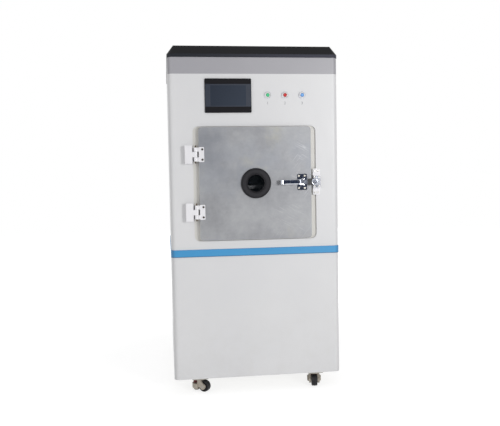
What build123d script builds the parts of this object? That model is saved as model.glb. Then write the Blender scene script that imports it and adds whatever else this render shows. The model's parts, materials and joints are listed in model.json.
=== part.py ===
from build123d import *
import os
from math import cos, pi, sin

# Vacuum plasma cleaner on levelling casters. Millimetres, +Z up, the front faces -Y.
# The origin lies on the floor, under the middle of the whole machine.

# Cabinet
cabinet_width = 740.0
cabinet_depth = 800.0
cabinet_height = 1393.0
corner_radius = 22.0
sheet = 1.5
front_return = 60.0
rear_return = 20.0
seam = 1.0
header_height = 70.5
stripe_height = 32.0
stripe_rise = 536.0
stripe_thickness = 3.0
cap_overhang = 2.0
cap_lip = 14.0
cap_rise = 39.0
cap_inset = 28.0
cap_top_radius = 4.0
cap_wall = 3.0
rear_projection = 28.0
past = 1.0

# Frame and base
tube_size = 30.0
tube_wall = 2.0
post_inset = 8.0
pan_thickness = 3.0
pan_rim = 25.0

# Casters
caster_height = 64.0
caster_plate_size = 70.0
caster_plate_thickness = 5.0
caster_plate_radius = 6.0
caster_side_inset = 112.0
caster_front_inset = 40.0
caster_bolt_spacing = 54.0
caster_bolt_radius = 4.25
caster_headings = (-32.0, -100.0, 60.0, 180.0)
wheel_radius = 25.0
wheel_width = 26.0
wheel_trail = 23.0
wheel_edge = 4.0
wheel_gap = 1.5
axle_radius = 4.0
fork_arm = 9.0
fork_eye = 12.0
fork_bridge = 4.0
fork_back = 2.0
fork_nose = 9.0
swivel_radius = 16.0
swivel_drop = 2.5
swivel_clear = 0.3
cup_radius = 31.0
cup_offset = 4.0
cup_height = 23.0
cup_lift = 14.0
cup_fillet = 5.0
foot_clear = 1.0
foot_chamfer = 1.5
foot_offset = 18.0
foot_radius = 12.0
foot_height = 7.0
foot_lift = 5.0
stem_radius = 5.0
thumbwheel_radius = 14.0
thumbwheel_height = 12.0
thumbwheel_notches = 12
notch_radius = 1.8
notch_outset = 0.5
stem_overrun = 2.0

# Door opening, door and chamber
door_centre_rise = 851.0
door_width = 490.0
door_height = 488.0
door_radius = 16.0
door_thickness = 22.0
door_gap = 0.6
door_chamfer = 1.0
cutout_width = 538.0
cutout_height = 495.0
cutout_radius = 24.0
flange_recess = 8.0
flange_thickness = 15.0
flange_overlap = 14.0
cavity_width = 400.0
cavity_height = 400.0
cavity_depth = 420.0
cavity_radius = 15.0
chamber_wall = 15.0
seal_width = 8.0
seal_depth = 5.0
seal_margin = 12.0
seal_clear = 0.2
pump_port_radius = 17.0
pump_port_rise = 54.0
electrode_width = 340.0
electrode_depth = 350.0
electrode_thickness = 3.0
electrode_lip = 14.0
electrode_pitch = 100.0
electrode_drop = 24.0
electrode_count = 3
support_radius = 8.0
support_margin = 30.0

# Viewport in the door
viewport_radius = 65.5
viewport_proud = 10.0
viewport_opening = 37.0
viewport_bevel = 5.0
door_bore_radius = 41.0
glass_radius = 49.0
glass_thickness = 8.0
gasket_thickness = 2.0
glass_clear = 0.5
viewport_screw_circle = 57.0
viewport_screw_count = 6

# Hinges
hinge_axis_x = -259.0
hinge_axis_proud = 6.0
hinge_rises = (977.5, 730.5)
hinge_block_width = 32.0
hinge_block_height = 77.0
hinge_block_gap = 14.0
hinge_block_fillet = 2.0
knuckle_radius = 8.0
tongue_height = 23.0
knuckle_height = 17.5
knuckle_gap = 0.5
leaf_thickness = 5.0
leaf_width = 23.0
leaf_height = 64.0
leaf_radius = 3.0
leaf_join = 4.0
leaf_screw_spacing = 44.0
pin_radius = 3.0
pin_overrun = 9.0
running_clearance = 0.05

# Toggle latch
latch_rise = 853.0
latch_pivot_x = 207.0
latch_pivot_proud = 14.0
latch_crank = 15.0
latch_over_centre = 2.0
latch_plate = 3.0
latch_base_left = 182.0
latch_base_right = 225.0
latch_base_height = 70.0
latch_base_radius = 4.0
latch_slot_radius = 2.75
latch_slot_length = 8.0
latch_hole_left = 188.5
latch_hole_right = 214.5
latch_hole_spread = 53.0
cheek_thickness = 2.0
cheek_inner = 12.0
cheek_radius = 6.5
cheek_end_gap = 2.0
lever_left = 104.0
lever_half = 10.8
lever_wall = 1.5
lever_rise = 8.0
lever_depth = 10.0
lever_tip_rise = 8.0
lever_tip_length = 16.0
lever_web_end = 9.0
lever_cheek_radius = 6.0
lever_cheek_join = 12.0
strap_half = 8.5
strap_wide_half = 14.0
strap_wide_start = 223.0
strap_thickness = 3.0
strap_barrel_radius = 4.5
strap_fillet = 3.0
strap_join = 2.0
eye_radius = 14.5
eye_clear = 1.0
rivet_radius = 2.5
rivet_head = 1.2
rivet_head_edge = 2.0
rivet_clear = 0.1
link_pin_gap = 0.3

# Keeper and its bracket
keeper_x = 258.0
keeper_plate_x = 268.0
keeper_radius = 3.0
keeper_stud_radius = 5.5
keeper_stud_fillet = 1.0
keeper_stud_bore = 3.2
keeper_width = 34.0
keeper_height = 51.0
keeper_thickness = 3.0
keeper_stud_reach = 10.5
keeper_screw_spread_x = 20.0
keeper_screw_spread_z = 40.0
bracket_x = 270.0
bracket_width = 32.0
bracket_height = 114.0
bracket_thickness = 4.0
bracket_bridge = 58.0
bracket_radius = 5.0
bridge_radius = 2.0
bracket_screw_spread_x = 13.0
bracket_screw_spread_z = 95.0

# Screws
screw_radius = 2.5
screw_head_radius = 4.5
screw_head_height = 2.6
screw_sink = 3.6
screw_length = 12.0
screw_clear = 0.1

# Touch panel
panel_x = -113.0
panel_rise = 1229.0
panel_width = 201.0
panel_height = 146.0
panel_radius = 4.0
panel_proud = 6.0
panel_body_depth = 34.0
panel_body_margin = 5.0
panel_body_radius = 2.0
panel_chamfer = 0.8
screen_height = 97.0
screen_shift = 1.0
screen_radius = 1.0
screen_clear = 0.2
screen_thickness = 1.5
screen_margin = 1.5
panel_fit = 0.5

# Pushbuttons
button_x = 135.0
button_pitch = 76.0
button_rise = 1231.0
button_radius = 14.5
button_proud = 7.0
button_rim = 2.0
button_countersink = 1.5
button_bore = 8.2
button_cap_radius = 8.0
button_cap_fillet = 1.5
button_cap_proud = 2.0
button_cap_length = 16.0
button_travel = 3.0
button_tube_radius = 11.0
button_tube_length = 32.0
button_hole_clear = 0.2

# Rear panel, vents and ports
louvre_length = 110.0
louvre_radius = 9.0
louvre_pitch = 26.0
louvre_rows = 8
louvre_columns = (-140.0, 0.0, 140.0)
louvre_rises = (190.0, 1010.0)
exhaust_x = -250.0
exhaust_rise = 470.0
exhaust_bore = 13.0
exhaust_wall = 1.5
exhaust_flange_radius = 20.0
exhaust_flange_thickness = 6.0
exhaust_collar = 6.0
exhaust_collar_thickness = 3.0
exhaust_length = 60.0
inlet_x = 230.0
inlet_pitch = 45.0
inlet_rise = 900.0
inlet_bore = 3.2
inlet_hex = 8.0
inlet_nut = 8.0
inlet_neck = 5.5
inlet_hole = 6.0
inlet_shortfall = 4.0
inlet_length = 46.0
gland_x = 250.0
gland_rise = 60.0
gland_bore = 7.0
gland_radius = 12.5
gland_clear = 0.5
gland_nut_radius = 15.0
gland_nut = 9.0
gland_length = 40.0

# Pump, pipe, generator and matching unit
pump_width = 150.0
pump_depth = 250.0
pump_height = 210.0
pump_x = -180.0
pump_fin_count = 9
pump_fin_height = 8.0
pump_fin_thickness = 4.0
pump_fin_margin = 30.0
pump_fillet = 12.0
motor_radius = 72.0
motor_length = 190.0
motor_lift = 4.0
motor_foot_half = 40.0
motor_foot_margin = 40.0
pipe_radius = 16.0
pipe_bend = 60.0
generator_width = 260.0
generator_depth = 420.0
generator_height = 180.0
generator_x = 160.0
generator_fillet = 3.0
matching_width = 240.0
matching_depth = 130.0
matching_height = 150.0
matching_gap = 40.0

# Places that follow from the sizes above
base_z = caster_height
top_z = base_z + cabinet_height
header_z = top_z - header_height
stripe_z = base_z + stripe_rise
panel_seam_z = stripe_z + stripe_height / 2
door_z = base_z + door_centre_rise
latch_z = base_z + latch_rise
door_proud = door_thickness + door_gap - flange_recess
lever_proud = latch_pivot_proud + lever_rise + lever_tip_rise
front_projection = door_proud + lever_proud
overall_depth = front_projection + cabinet_depth + rear_projection
front_y = front_projection - overall_depth / 2
rear_y = front_y + cabinet_depth
middle_y = (front_y + rear_y) / 2
door_front = front_y - door_proud
door_back = door_front + door_thickness
flange_front = front_y + flange_recess
chamber_front = flange_front + flange_thickness
chamber_back = chamber_front + cavity_depth + chamber_wall
chamber_floor = door_z - cavity_height / 2
chamber_bottom = chamber_floor - chamber_wall
flange_bottom = door_z - cutout_height / 2 - flange_overlap
hinge_axis_y = door_front - hinge_axis_proud
latch_pivot_y = door_front - latch_pivot_proud
latch_link_x = latch_pivot_x - latch_crank
latch_link_y = latch_pivot_y + latch_over_centre
strap_back = latch_link_y + strap_thickness
keeper_face = door_front - keeper_thickness
cup_top = cup_lift + cup_height
inside_x = cabinet_width / 2 - sheet
inside_front = front_y + sheet
inside_rear = rear_y - sheet
rear_half = cabinet_width / 2 - corner_radius - rear_return


def block(x0, x1, y0, y1, z0, z1):
    """A box between six limits."""
    size = Box(abs(x1 - x0), abs(y1 - y0), abs(z1 - z0))
    return Pos((x0 + x1) / 2, (y0 + y1) / 2, (z0 + z1) / 2) * size


def rod_x(x0, x1, y, z, radius):
    """A cylinder along X."""
    return Pos((x0 + x1) / 2, y, z) * Rot(0, 90, 0) * Cylinder(radius, abs(x1 - x0))


def rod_y(x, y0, y1, z, radius):
    """A cylinder along Y."""
    return Pos(x, (y0 + y1) / 2, z) * Rot(90, 0, 0) * Cylinder(radius, abs(y1 - y0))


def rod_z(x, y, z0, z1, radius):
    """A cylinder along Z."""
    return Pos(x, y, (z0 + z1) / 2) * Cylinder(radius, abs(z1 - z0))


def plate_y(x, z, width, height, radius, y0, y1):
    """An upright plate with rounded corners, seen from the front."""
    outline = RectangleRounded(width, height, radius)
    return extrude(Plane.XZ.offset(-y1) * Pos(x, z) * outline, y1 - y0)


def capsule(p, q, radius, z0, z1):
    """A rounded link in plan between two points, with its height along Z."""
    middle = ((p[0] + q[0]) / 2, (p[1] + q[1]) / 2)
    span = Vector(q[0] - p[0], q[1] - p[1])
    turn = Vector(1, 0).get_signed_angle(span)
    bar = Pos(*middle) * Rot(0, 0, turn) * Rectangle(span.length, 2 * radius)
    outline = bar + Pos(*p) * Circle(radius) + Pos(*q) * Circle(radius)
    return Pos(0, 0, z0) * extrude(outline, z1 - z0)


def turned_y(points, x, z):
    """A turned piece on an axis along Y, from (radius, y) points."""
    outline = make_face(Polyline(*points, close=True))
    return Pos(x, 0, z) * revolve(outline, Axis.Y)


def wall(z0, z1, proud=0.0, thickness=sheet):
    """The cabinet's upright wall as a ring with rounded corners."""
    outer = RectangleRounded(cabinet_width + 2 * proud, cabinet_depth + 2 * proud, corner_radius + proud)
    gap = proud - thickness
    inner = RectangleRounded(cabinet_width + 2 * gap, cabinet_depth + 2 * gap, corner_radius + gap)
    return Pos(0, middle_y, z0) * extrude(outer - inner, z1 - z0)


def screw_y(x, y, z, length=screw_length):
    """A pan head screw along Y, with its head towards the front of y."""
    head = rod_y(x, y - screw_head_height, y, z, screw_head_radius)
    head = chamfer(head.faces().sort_by(Axis.Y)[0].edges(), screw_head_height / 3)
    drive = rod_y(x, y - screw_head_height, y - screw_head_height / 2, z, screw_radius / 2)
    return head + rod_y(x, y, y + length, z, screw_radius) - drive


def screw_hole(x, y0, y1, z):
    """The clearance hole of one screw."""
    return rod_y(x, y0, y1, z, screw_radius + screw_clear)


def mirrored_pair(value):
    """Two values, below and above zero."""
    return (-value, value)


# Cabinet


def lower_front_panel():
    """The plain panel below the stripe, bent round both front corners."""
    front = block(-cabinet_width, cabinet_width, front_y - past, front_y + front_return, base_z,
                  panel_seam_z - seam)
    return wall(base_z, panel_seam_z - seam) & front


def upper_front_panel():
    """The panel above the stripe, with the door cut-out, the panel window and the button holes."""
    front = block(-cabinet_width, cabinet_width, front_y - past, front_y + front_return, panel_seam_z,
                  header_z)
    panel = wall(panel_seam_z, header_z) & front
    rim = plate_y(0, door_z, cutout_width + 2 * sheet, cutout_height + 2 * sheet, cutout_radius + sheet,
                  front_y, flange_front)
    panel = panel + rim
    panel = panel - plate_y(0, door_z, cutout_width, cutout_height, cutout_radius, front_y - past,
                            flange_front + past)
    panel = panel - touch_panel_window()
    for x in button_places():
        panel = panel - rod_y(x, front_y - past, inside_front + past, button_z(),
                              button_tube_radius + button_hole_clear)
    for x, z in bracket_screw_places():
        panel = panel - screw_hole(x, front_y - past, inside_front + past, z)
    return panel


def side_panel(side):
    """One side panel, from the front panel's return to the rear corner's return."""
    front = front_y + front_return + seam
    ring = wall(base_z, header_z)
    near = block(side * rear_half, side * cabinet_width, front, rear_y + past, base_z, header_z)
    return ring & near


def louvre(x, z):
    """One pressed louvre hood that opens downwards."""
    half = louvre_length / 2
    hood = rod_x(x - half, x + half, rear_y, z, louvre_radius)
    hollow = rod_x(x - half + sheet, x + half - sheet, rear_y, z, louvre_radius - sheet)
    keep = block(x - louvre_length, x + louvre_length, rear_y, rear_y + louvre_radius, z, z + louvre_radius)
    return (hood - hollow) & keep


def rear_panel():
    """The removable rear panel with two banks of louvres and the port holes."""
    half = rear_half - seam
    panel = block(-half, half, inside_rear, rear_y, base_z, header_z)
    slots = []
    hoods = []
    inner = louvre_length / 2 - sheet
    for bank in louvre_rises:
        for column in louvre_columns:
            for row in range(louvre_rows):
                z = base_z + bank + row * louvre_pitch
                slots.append(block(column - inner, column + inner, inside_rear - past, rear_y + past,
                                   z, z + louvre_radius - sheet))
                hoods.append(louvre(column, z))
    panel = panel - slots
    panel = panel + hoods
    panel = panel - rod_y(exhaust_x, inside_rear - past, rear_y + past, exhaust_z(),
                          exhaust_bore + exhaust_wall)
    for x in inlet_places():
        panel = panel - rod_y(x, inside_rear - past, rear_y + past, inlet_z(), inlet_hole)
    panel = panel - rod_y(gland_x, inside_rear - past, rear_y + past, gland_z(), gland_radius)
    return panel


def header_band():
    """The grey band round the top of the cabinet."""
    return wall(header_z, top_z)


def stripe_band():
    """The coloured band over the seam, round the front and both sides."""
    band = wall(stripe_z, stripe_z + stripe_height, stripe_thickness, stripe_thickness)
    keep = block(-cabinet_width, cabinet_width, front_y - stripe_thickness - past, rear_y - corner_radius,
                 stripe_z - past, stripe_z + stripe_height + past)
    return band & keep


def top_cap():
    """The dark lid: an upright lip under a hipped slope and a flat top, hollow from below."""
    width = cabinet_width + 2 * cap_overhang
    depth = cabinet_depth + 2 * cap_overhang
    radius = corner_radius + cap_overhang
    lip = Pos(0, middle_y, top_z) * extrude(RectangleRounded(width, depth, radius), cap_lip)
    low = Pos(0, middle_y, top_z + cap_lip) * RectangleRounded(width, depth, radius)
    flat = RectangleRounded(width - 2 * cap_inset, depth - 2 * cap_inset, cap_top_radius)
    slope = loft([low, Pos(0, middle_y, top_z + cap_lip + cap_rise) * flat])
    margin = 2 * (cap_inset + cap_lip)
    inner = RectangleRounded(width - margin, depth - margin, cap_top_radius)
    hollow = Pos(0, middle_y, top_z) * extrude(inner, cap_lip + cap_rise - cap_wall)
    return lip + slope - hollow


def tube(x0, x1, y0, y1, z0, z1):
    """A square tube between six limits, hollow along its longest side."""
    spans = [x1 - x0, y1 - y0, z1 - z0]
    walls = [tube_wall if span < max(spans) else 0 for span in spans]
    outer = block(x0, x1, y0, y1, z0, z1)
    inner = block(x0 + walls[0], x1 - walls[0], y0 + walls[1], y1 - walls[1], z0 + walls[2], z1 - walls[2])
    return outer - inner


def frame_levels():
    """The heights of the undersides of the frame's rings."""
    return (base_z + pan_thickness, flange_bottom - tube_size, top_z - tube_size)


def frame():
    """The welded frame: four posts, three rings and the cross rails that carry the chamber."""
    near = inside_x - post_inset
    front = inside_front + post_inset
    rear = inside_rear - post_inset
    rows = (front, rear - tube_size)
    pieces = []
    for x in (-near, near - tube_size):
        for y in rows:
            pieces.append(tube(x, x + tube_size, y, y + tube_size, base_z + pan_thickness, top_z))
        for z in frame_levels():
            pieces.append(tube(x, x + tube_size, rows[0] + tube_size, rows[1], z, z + tube_size))
    for y in rows:
        for z in frame_levels():
            pieces.append(tube(tube_size - near, near - tube_size, y, y + tube_size, z, z + tube_size))
    for y in (chamber_front + tube_size, chamber_back - 2 * tube_size):
        pieces.append(tube(-near, near, y, y + tube_size, flange_bottom, chamber_bottom))
    return pieces[0] + pieces[1:]


def base_pan():
    """The folded pan under the frame, with a turned-up rim and the caster bolt holes."""
    gap = sheet + seam / 2
    outline = RectangleRounded(cabinet_width - 2 * gap, cabinet_depth - 2 * gap, corner_radius - gap)
    inner = offset(outline, -pan_thickness)
    pan = extrude(outline, pan_rim) - Pos(0, 0, pan_thickness) * extrude(inner, pan_rim)
    pan = Pos(0, middle_y, base_z) * pan
    frame_room = inside_x - post_inset
    pan = pan - block(-frame_room, frame_room, inside_front + post_inset, inside_rear - post_inset,
                      base_z + pan_thickness, base_z + pan_rim + past)
    for x, y in caster_places():
        for dx in mirrored_pair(caster_bolt_spacing / 2):
            for dy in mirrored_pair(caster_bolt_spacing / 2):
                pan = pan - rod_z(x + dx, y + dy, base_z - past, base_z + pan_thickness + past,
                                  caster_bolt_radius)
    return pan


# Chamber


def chamber_flange():
    """The chamber's front flange, with the groove that holds the door seal."""
    width = cutout_width + 2 * flange_overlap
    height = cutout_height + 2 * flange_overlap
    flange = plate_y(0, door_z, width, height, cutout_radius, flange_front, chamber_front)
    flange = flange - plate_y(0, door_z, cavity_width, cavity_height, cavity_radius, flange_front - past,
                              chamber_front + past)
    return flange - seal_ring(seal_clear, flange_front - past, flange_front + seal_depth)


def seal_ring(clearance, y0, y1):
    """The seal's square ring with rounded corners, grown by a clearance."""
    inner = seal_margin - clearance
    outer = seal_margin + seal_width + clearance
    ring = plate_y(0, door_z, cavity_width + 2 * outer, cavity_height + 2 * outer, cavity_radius + outer,
                   y0, y1)
    return ring - plate_y(0, door_z, cavity_width + 2 * inner, cavity_height + 2 * inner,
                          cavity_radius + inner, y0 - past, y1 + past)


def door_seal():
    """The soft seal, which stands proud of its groove and meets the back of the door."""
    return seal_ring(0, door_back + door_gap / 2, flange_front + seal_depth)


def chamber_box():
    """The vacuum chamber: a thick-walled box, open at the front, with the pump port at the back."""
    width = cavity_width + 2 * chamber_wall
    height = cavity_height + 2 * chamber_wall
    box = plate_y(0, door_z, width, height, cavity_radius, chamber_front, chamber_back)
    box = box - plate_y(0, door_z, cavity_width, cavity_height, cavity_radius, chamber_front - past,
                        chamber_back - chamber_wall)
    return box - rod_y(pump_port_x(), chamber_back - chamber_wall - past, chamber_back + past, pump_port_z(),
                       pump_port_radius)


def electrode_levels():
    """The undersides of the electrode shelves, from the lowest up."""
    middle = door_z - electrode_drop
    return [middle + (level - 1) * electrode_pitch for level in range(electrode_count)]


def electrode_middle_y():
    """The middle of the shelves, front to back."""
    return chamber_front + cavity_depth / 2


def electrode_shelves():
    """The electrode shelves, each a plate with a turned-up lip at the front."""
    shelves = []
    half = electrode_width / 2
    y0 = electrode_middle_y() - electrode_depth / 2
    for z in electrode_levels():
        shelf = block(-half, half, y0, y0 + electrode_depth, z, z + electrode_thickness)
        lip = block(-half, half, y0, y0 + electrode_thickness, z, z + electrode_lip)
        shelves.append(shelf + lip)
    return Compound(shelves)


def shelf_spacers():
    """The insulating spacers that stack the shelves above the chamber's floor."""
    spacers = []
    levels = electrode_levels()
    feet = [chamber_floor] + [z + electrode_thickness for z in levels[:-1]]
    for z0, z1 in zip(feet, levels):
        for x in mirrored_pair(electrode_width / 2 - support_margin):
            for dy in mirrored_pair(electrode_depth / 2 - support_margin):
                spacers.append(rod_z(x, electrode_middle_y() + dy, z0, z1, support_radius))
    return Compound(spacers)


# Door and viewport


def door_plate():
    """The thick door, with the viewport's stepped bore and the screw holes."""
    door = plate_y(0, door_z, door_width, door_height, door_radius, door_front, door_back)
    front_edges = door.faces().sort_by(Axis.Y)[0].edges()
    door = chamfer(front_edges, door_chamfer)
    seat = glass_thickness + gasket_thickness
    door = door - rod_y(0, door_front - past, door_front + seat, door_z, glass_radius + glass_clear)
    door = door - rod_y(0, door_front, door_back + past, door_z, door_bore_radius)
    for x, z in viewport_screw_places():
        door = door - screw_hole(x, door_front - past, door_back + past, z)
        door = door - rod_y(x, door_back - screw_sink, door_back + past, z, screw_head_radius + past)
    for x, z in leaf_screw_places() + latch_screw_places():
        door = door - screw_hole(x, door_front - past, door_front + screw_length, z)
    return door


def viewport_screw_places():
    """The screws of the viewport ring, on a circle."""
    turns = [2 * pi * (i + 0.5) / viewport_screw_count for i in range(viewport_screw_count)]
    return [(viewport_screw_circle * cos(turn), door_z + viewport_screw_circle * sin(turn)) for turn in turns]


def viewport_ring():
    """The dark clamp ring, bevelled outside and dished towards the glass."""
    outer = viewport_radius
    face = door_front - viewport_proud
    points = [(viewport_opening, door_front), (viewport_opening, door_front - viewport_proud / 2),
              (viewport_opening + viewport_bevel, face), (outer - viewport_bevel, face),
              (outer, face + viewport_bevel), (outer, door_front)]
    ring = turned_y(points, 0, door_z)
    for x, z in viewport_screw_places():
        ring = ring - screw_hole(x, door_front - viewport_proud / 2, door_front + past, z)
    return ring


def viewport_glass():
    """The round pane in the door's counterbore."""
    return rod_y(0, door_front, door_front + glass_thickness, door_z, glass_radius)


def viewport_gasket():
    """The flat gasket behind the pane."""
    y0 = door_front + glass_thickness
    gasket = rod_y(0, y0, y0 + gasket_thickness, door_z, glass_radius)
    return gasket - rod_y(0, y0 - past, y0 + gasket_thickness + past, door_z, door_bore_radius)


def viewport_screws():
    """The screws that pull the clamp ring on from inside the chamber."""
    screws = []
    tip = door_front - viewport_proud / 2 + screw_clear
    seat = door_back - screw_sink
    for x, z in viewport_screw_places():
        shank = rod_y(x, tip, seat, z, screw_radius)
        screws.append(shank + rod_y(x, seat, seat + screw_head_height, z, screw_head_radius))
    return screws


# Hinges


def hinge_heights():
    """The middle heights of the two hinges."""
    return [base_z + rise for rise in hinge_rises]


def pin_hole(z):
    """The hinge pin's running hole."""
    return rod_z(hinge_axis_x, hinge_axis_y, z - hinge_block_height, z + hinge_block_height,
                 pin_radius + running_clearance)


def hinge_blocks():
    """The cabinet's half of each hinge: a thick block with a rounded tongue round the pin."""
    blocks = []
    right = hinge_axis_x - hinge_block_gap
    left = right - hinge_block_width
    half = hinge_block_height / 2
    for z in hinge_heights():
        body = block(left, right, hinge_axis_y - knuckle_radius, front_y, z - half, z + half)
        body = fillet(body.edges().filter_by(Axis.Z).group_by(Axis.Y)[0], hinge_block_fillet)
        tongue = block(right - past, hinge_axis_x, hinge_axis_y - knuckle_radius,
                       hinge_axis_y + knuckle_radius, z - tongue_height / 2, z + tongue_height / 2)
        eye = rod_z(hinge_axis_x, hinge_axis_y, z - tongue_height / 2, z + tongue_height / 2, knuckle_radius)
        blocks.append(body + tongue + eye - pin_hole(z))
    return Compound(blocks)


def leaf_screw_x():
    """The line of a leaf's screws, a little outside its middle."""
    return leaf_middle_x() + leaf_width / 6


def leaf_screw_places():
    """The screws of both hinge leaves."""
    return [(leaf_screw_x(), z + dz) for z in hinge_heights() for dz in mirrored_pair(leaf_screw_spacing / 2)]


def leaf_middle_x():
    """The middle of a leaf's plate."""
    return hinge_axis_x + hinge_block_gap + leaf_width / 2


def hinge_leaves():
    """The door's half of each hinge: a plate on the door and two knuckles."""
    leaves = []
    left = leaf_middle_x() - leaf_width / 2
    face = door_front - leaf_thickness
    for z in hinge_heights():
        leaf = plate_y(leaf_middle_x(), z, leaf_width, leaf_height, leaf_radius, face, door_front)
        for side in (-1, 1):
            z0 = z + side * (tongue_height / 2 + knuckle_gap)
            z1 = z0 + side * knuckle_height
            leaf = leaf + block(hinge_axis_x, left + leaf_join, face, door_front, z0, z1)
            leaf = leaf + rod_z(hinge_axis_x, hinge_axis_y, z0, z1, knuckle_radius)
        leaf = leaf - pin_hole(z)
        for dz in mirrored_pair(leaf_screw_spacing / 2):
            leaf = leaf - screw_hole(leaf_screw_x(), face - past, door_front + past, z + dz)
        leaves.append(leaf)
    return Compound(leaves)


def hinge_pins():
    """The hinge pins, with domed ends that stand out of the knuckles."""
    pins = []
    reach = tongue_height / 2 + knuckle_gap + knuckle_height + pin_overrun
    for z in hinge_heights():
        pin = rod_z(hinge_axis_x, hinge_axis_y, z - reach, z + reach, pin_radius)
        pins.append(fillet(pin.edges().filter_by(GeomType.CIRCLE), pin_radius / 2))
    return Compound(pins)


def door_screws():
    """All the screws in the door: those of the hinge leaves, the latch base and the viewport ring."""
    leaf = [screw_y(x, door_front - leaf_thickness, z) for x, z in leaf_screw_places()]
    latch = [screw_y(x, door_front - latch_plate, z) for x, z in latch_screw_places()]
    return Compound(leaf + latch + viewport_screws())


# Toggle latch


def latch_screw_places():
    """The four screws of the latch base."""
    return [(x, latch_z + dz) for x in (latch_hole_left, latch_hole_right)
            for dz in mirrored_pair(latch_hole_spread / 2)]


def latch_base():
    """The base plate, with slotted holes and two upright cheeks."""
    width = latch_base_right - latch_base_left
    middle = (latch_base_left + latch_base_right) / 2
    base = plate_y(middle, latch_z, width, latch_base_height, latch_base_radius, door_front - latch_plate,
                   door_front)
    slot = SlotOverall(latch_slot_length, 2 * latch_slot_radius)
    face = Plane.XZ.offset(latch_plate + past - door_front)
    for x, z in latch_screw_places():
        base = base - extrude(face * Pos(x, z) * slot, -latch_plate - 2 * past)
    for side in (-1, 1):
        z0, z1 = sorted((latch_z + side * cheek_inner, latch_z + side * (cheek_inner + cheek_thickness)))
        cheek = rod_z(latch_pivot_x, latch_pivot_y, z0, z1, cheek_radius)
        cheek = cheek + block(latch_link_x, latch_base_right - cheek_end_gap, latch_link_y,
                              door_front - latch_plate / 2, z0, z1)
        cheek = cheek - rod_z(latch_pivot_x, latch_pivot_y, z0 - past, z1 + past,
                              rivet_radius + running_clearance)
        base = base + cheek
    return base


def latch_lever():
    """The pressed lever: a channel with an outward tip, open between its pivots."""
    web = latch_pivot_y - lever_rise
    far = web + lever_depth
    end = latch_link_x - lever_web_end
    bend = lever_left + lever_tip_length
    outline = Polyline((end, web), (bend, web),
                       (lever_left, web - lever_tip_rise), (lever_left, web - lever_tip_rise + lever_wall),
                       (bend, web + lever_depth * 0.8),
                       (bend + lever_tip_length, far), (end, far), close=True)
    solid = Pos(0, 0, latch_z - lever_half) * extrude(make_face(outline), 2 * lever_half)
    inner = Polyline((end + past, web + lever_wall), (bend + lever_wall, web + lever_wall),
                     (bend + lever_tip_length, far + past), (end + past, far + past), close=True)
    half = lever_half - lever_wall
    solid = solid - Pos(0, 0, latch_z - half) * extrude(make_face(inner), 2 * half)
    for side in (-1, 1):
        z0, z1 = sorted((latch_z + side * half, latch_z + side * lever_half))
        cheek = capsule((latch_link_x, latch_link_y), (latch_pivot_x, latch_pivot_y), lever_cheek_radius,
                        z0, z1)
        cheek = cheek + block(latch_link_x - lever_cheek_join, latch_link_x, web, far, z0, z1)
        solid = solid + cheek
    for x, y in ((latch_link_x, latch_link_y), (latch_pivot_x, latch_pivot_y)):
        solid = solid - rod_z(x, y, latch_z - lever_half - past, latch_z + lever_half + past,
                              rivet_radius + running_clearance)
    return solid


def latch_pivot_rivets():
    """The two short rivets on which the lever turns in the base's cheeks."""
    rivets = []
    outer = cheek_inner + cheek_thickness
    for side in (-1, 1):
        start = latch_z + side * (lever_half - lever_wall + rivet_clear)
        end = latch_z + side * outer
        rivet = rod_z(latch_pivot_x, latch_pivot_y, start, end, rivet_radius)
        head = rod_z(latch_pivot_x, latch_pivot_y, end, end + side * rivet_head,
                     rivet_radius + rivet_head_edge)
        rivets.append(rivet + head)
    return Compound(rivets)


def latch_link_pin():
    """The pin that joins the draw strap to the lever."""
    reach = cheek_inner - link_pin_gap
    return rod_z(latch_link_x, latch_link_y, latch_z - reach, latch_z + reach, rivet_radius)


def latch_strap():
    """The draw strap: a rolled barrel, a narrow neck, a wide plate and an eye over the keeper's stud."""
    y0 = latch_link_y
    y1 = strap_back
    neck = block(latch_link_x, strap_wide_start, y0, y1, latch_z - strap_half, latch_z + strap_half)
    barrel = rod_z(latch_link_x, latch_link_y, latch_z - strap_half, latch_z + strap_half,
                   strap_barrel_radius)
    wide = block(strap_wide_start, keeper_x - eye_radius + strap_join, y0, y1, latch_z - strap_wide_half,
                 latch_z + strap_wide_half)
    wide = fillet(wide.edges().filter_by(Axis.Y), strap_fillet)
    eye = rod_y(keeper_x, y0, y1, latch_z, eye_radius)
    strap = neck + barrel + wide + eye
    strap = strap - rod_y(keeper_x, y0 - past, y1 + past, latch_z, keeper_stud_radius + eye_clear)
    return strap - rod_z(latch_link_x, latch_link_y, latch_z - strap_half - past, latch_z + strap_half + past,
                         rivet_radius + running_clearance)


def bracket_screw_places():
    """The screws of the keeper's bracket."""
    return [(bracket_x + dx, latch_z + dz) for dx in mirrored_pair(bracket_screw_spread_x / 2)
            for dz in mirrored_pair(bracket_screw_spread_z / 2)]


def keeper_screw_places():
    """The screws of the keeper's plate."""
    return [(keeper_plate_x + dx, latch_z + dz) for dx in mirrored_pair(keeper_screw_spread_x / 2)
            for dz in mirrored_pair(keeper_screw_spread_z / 2)]


def keeper_bracket():
    """The bracket: two tabs on the cabinet and a bridge that lifts the keeper level with the door."""
    tabs = plate_y(bracket_x, latch_z, bracket_width, bracket_height, bracket_radius,
                   front_y - bracket_thickness, front_y)
    bridge = plate_y(bracket_x, latch_z, bracket_width, bracket_bridge, bridge_radius, door_front, front_y)
    hollow = block(bracket_x - bracket_width, bracket_x + bracket_width, door_front + bracket_thickness,
                   front_y + past, latch_z - bracket_bridge / 2 + bracket_thickness,
                   latch_z + bracket_bridge / 2 - bracket_thickness)
    bracket = tabs + bridge - hollow
    for x, z in bracket_screw_places():
        bracket = bracket - screw_hole(x, front_y - bracket_thickness - past, front_y + past, z)
    for x, z in keeper_screw_places():
        bracket = bracket - screw_hole(x, door_front - past, door_front + bracket_thickness + past, z)
    return bracket


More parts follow.
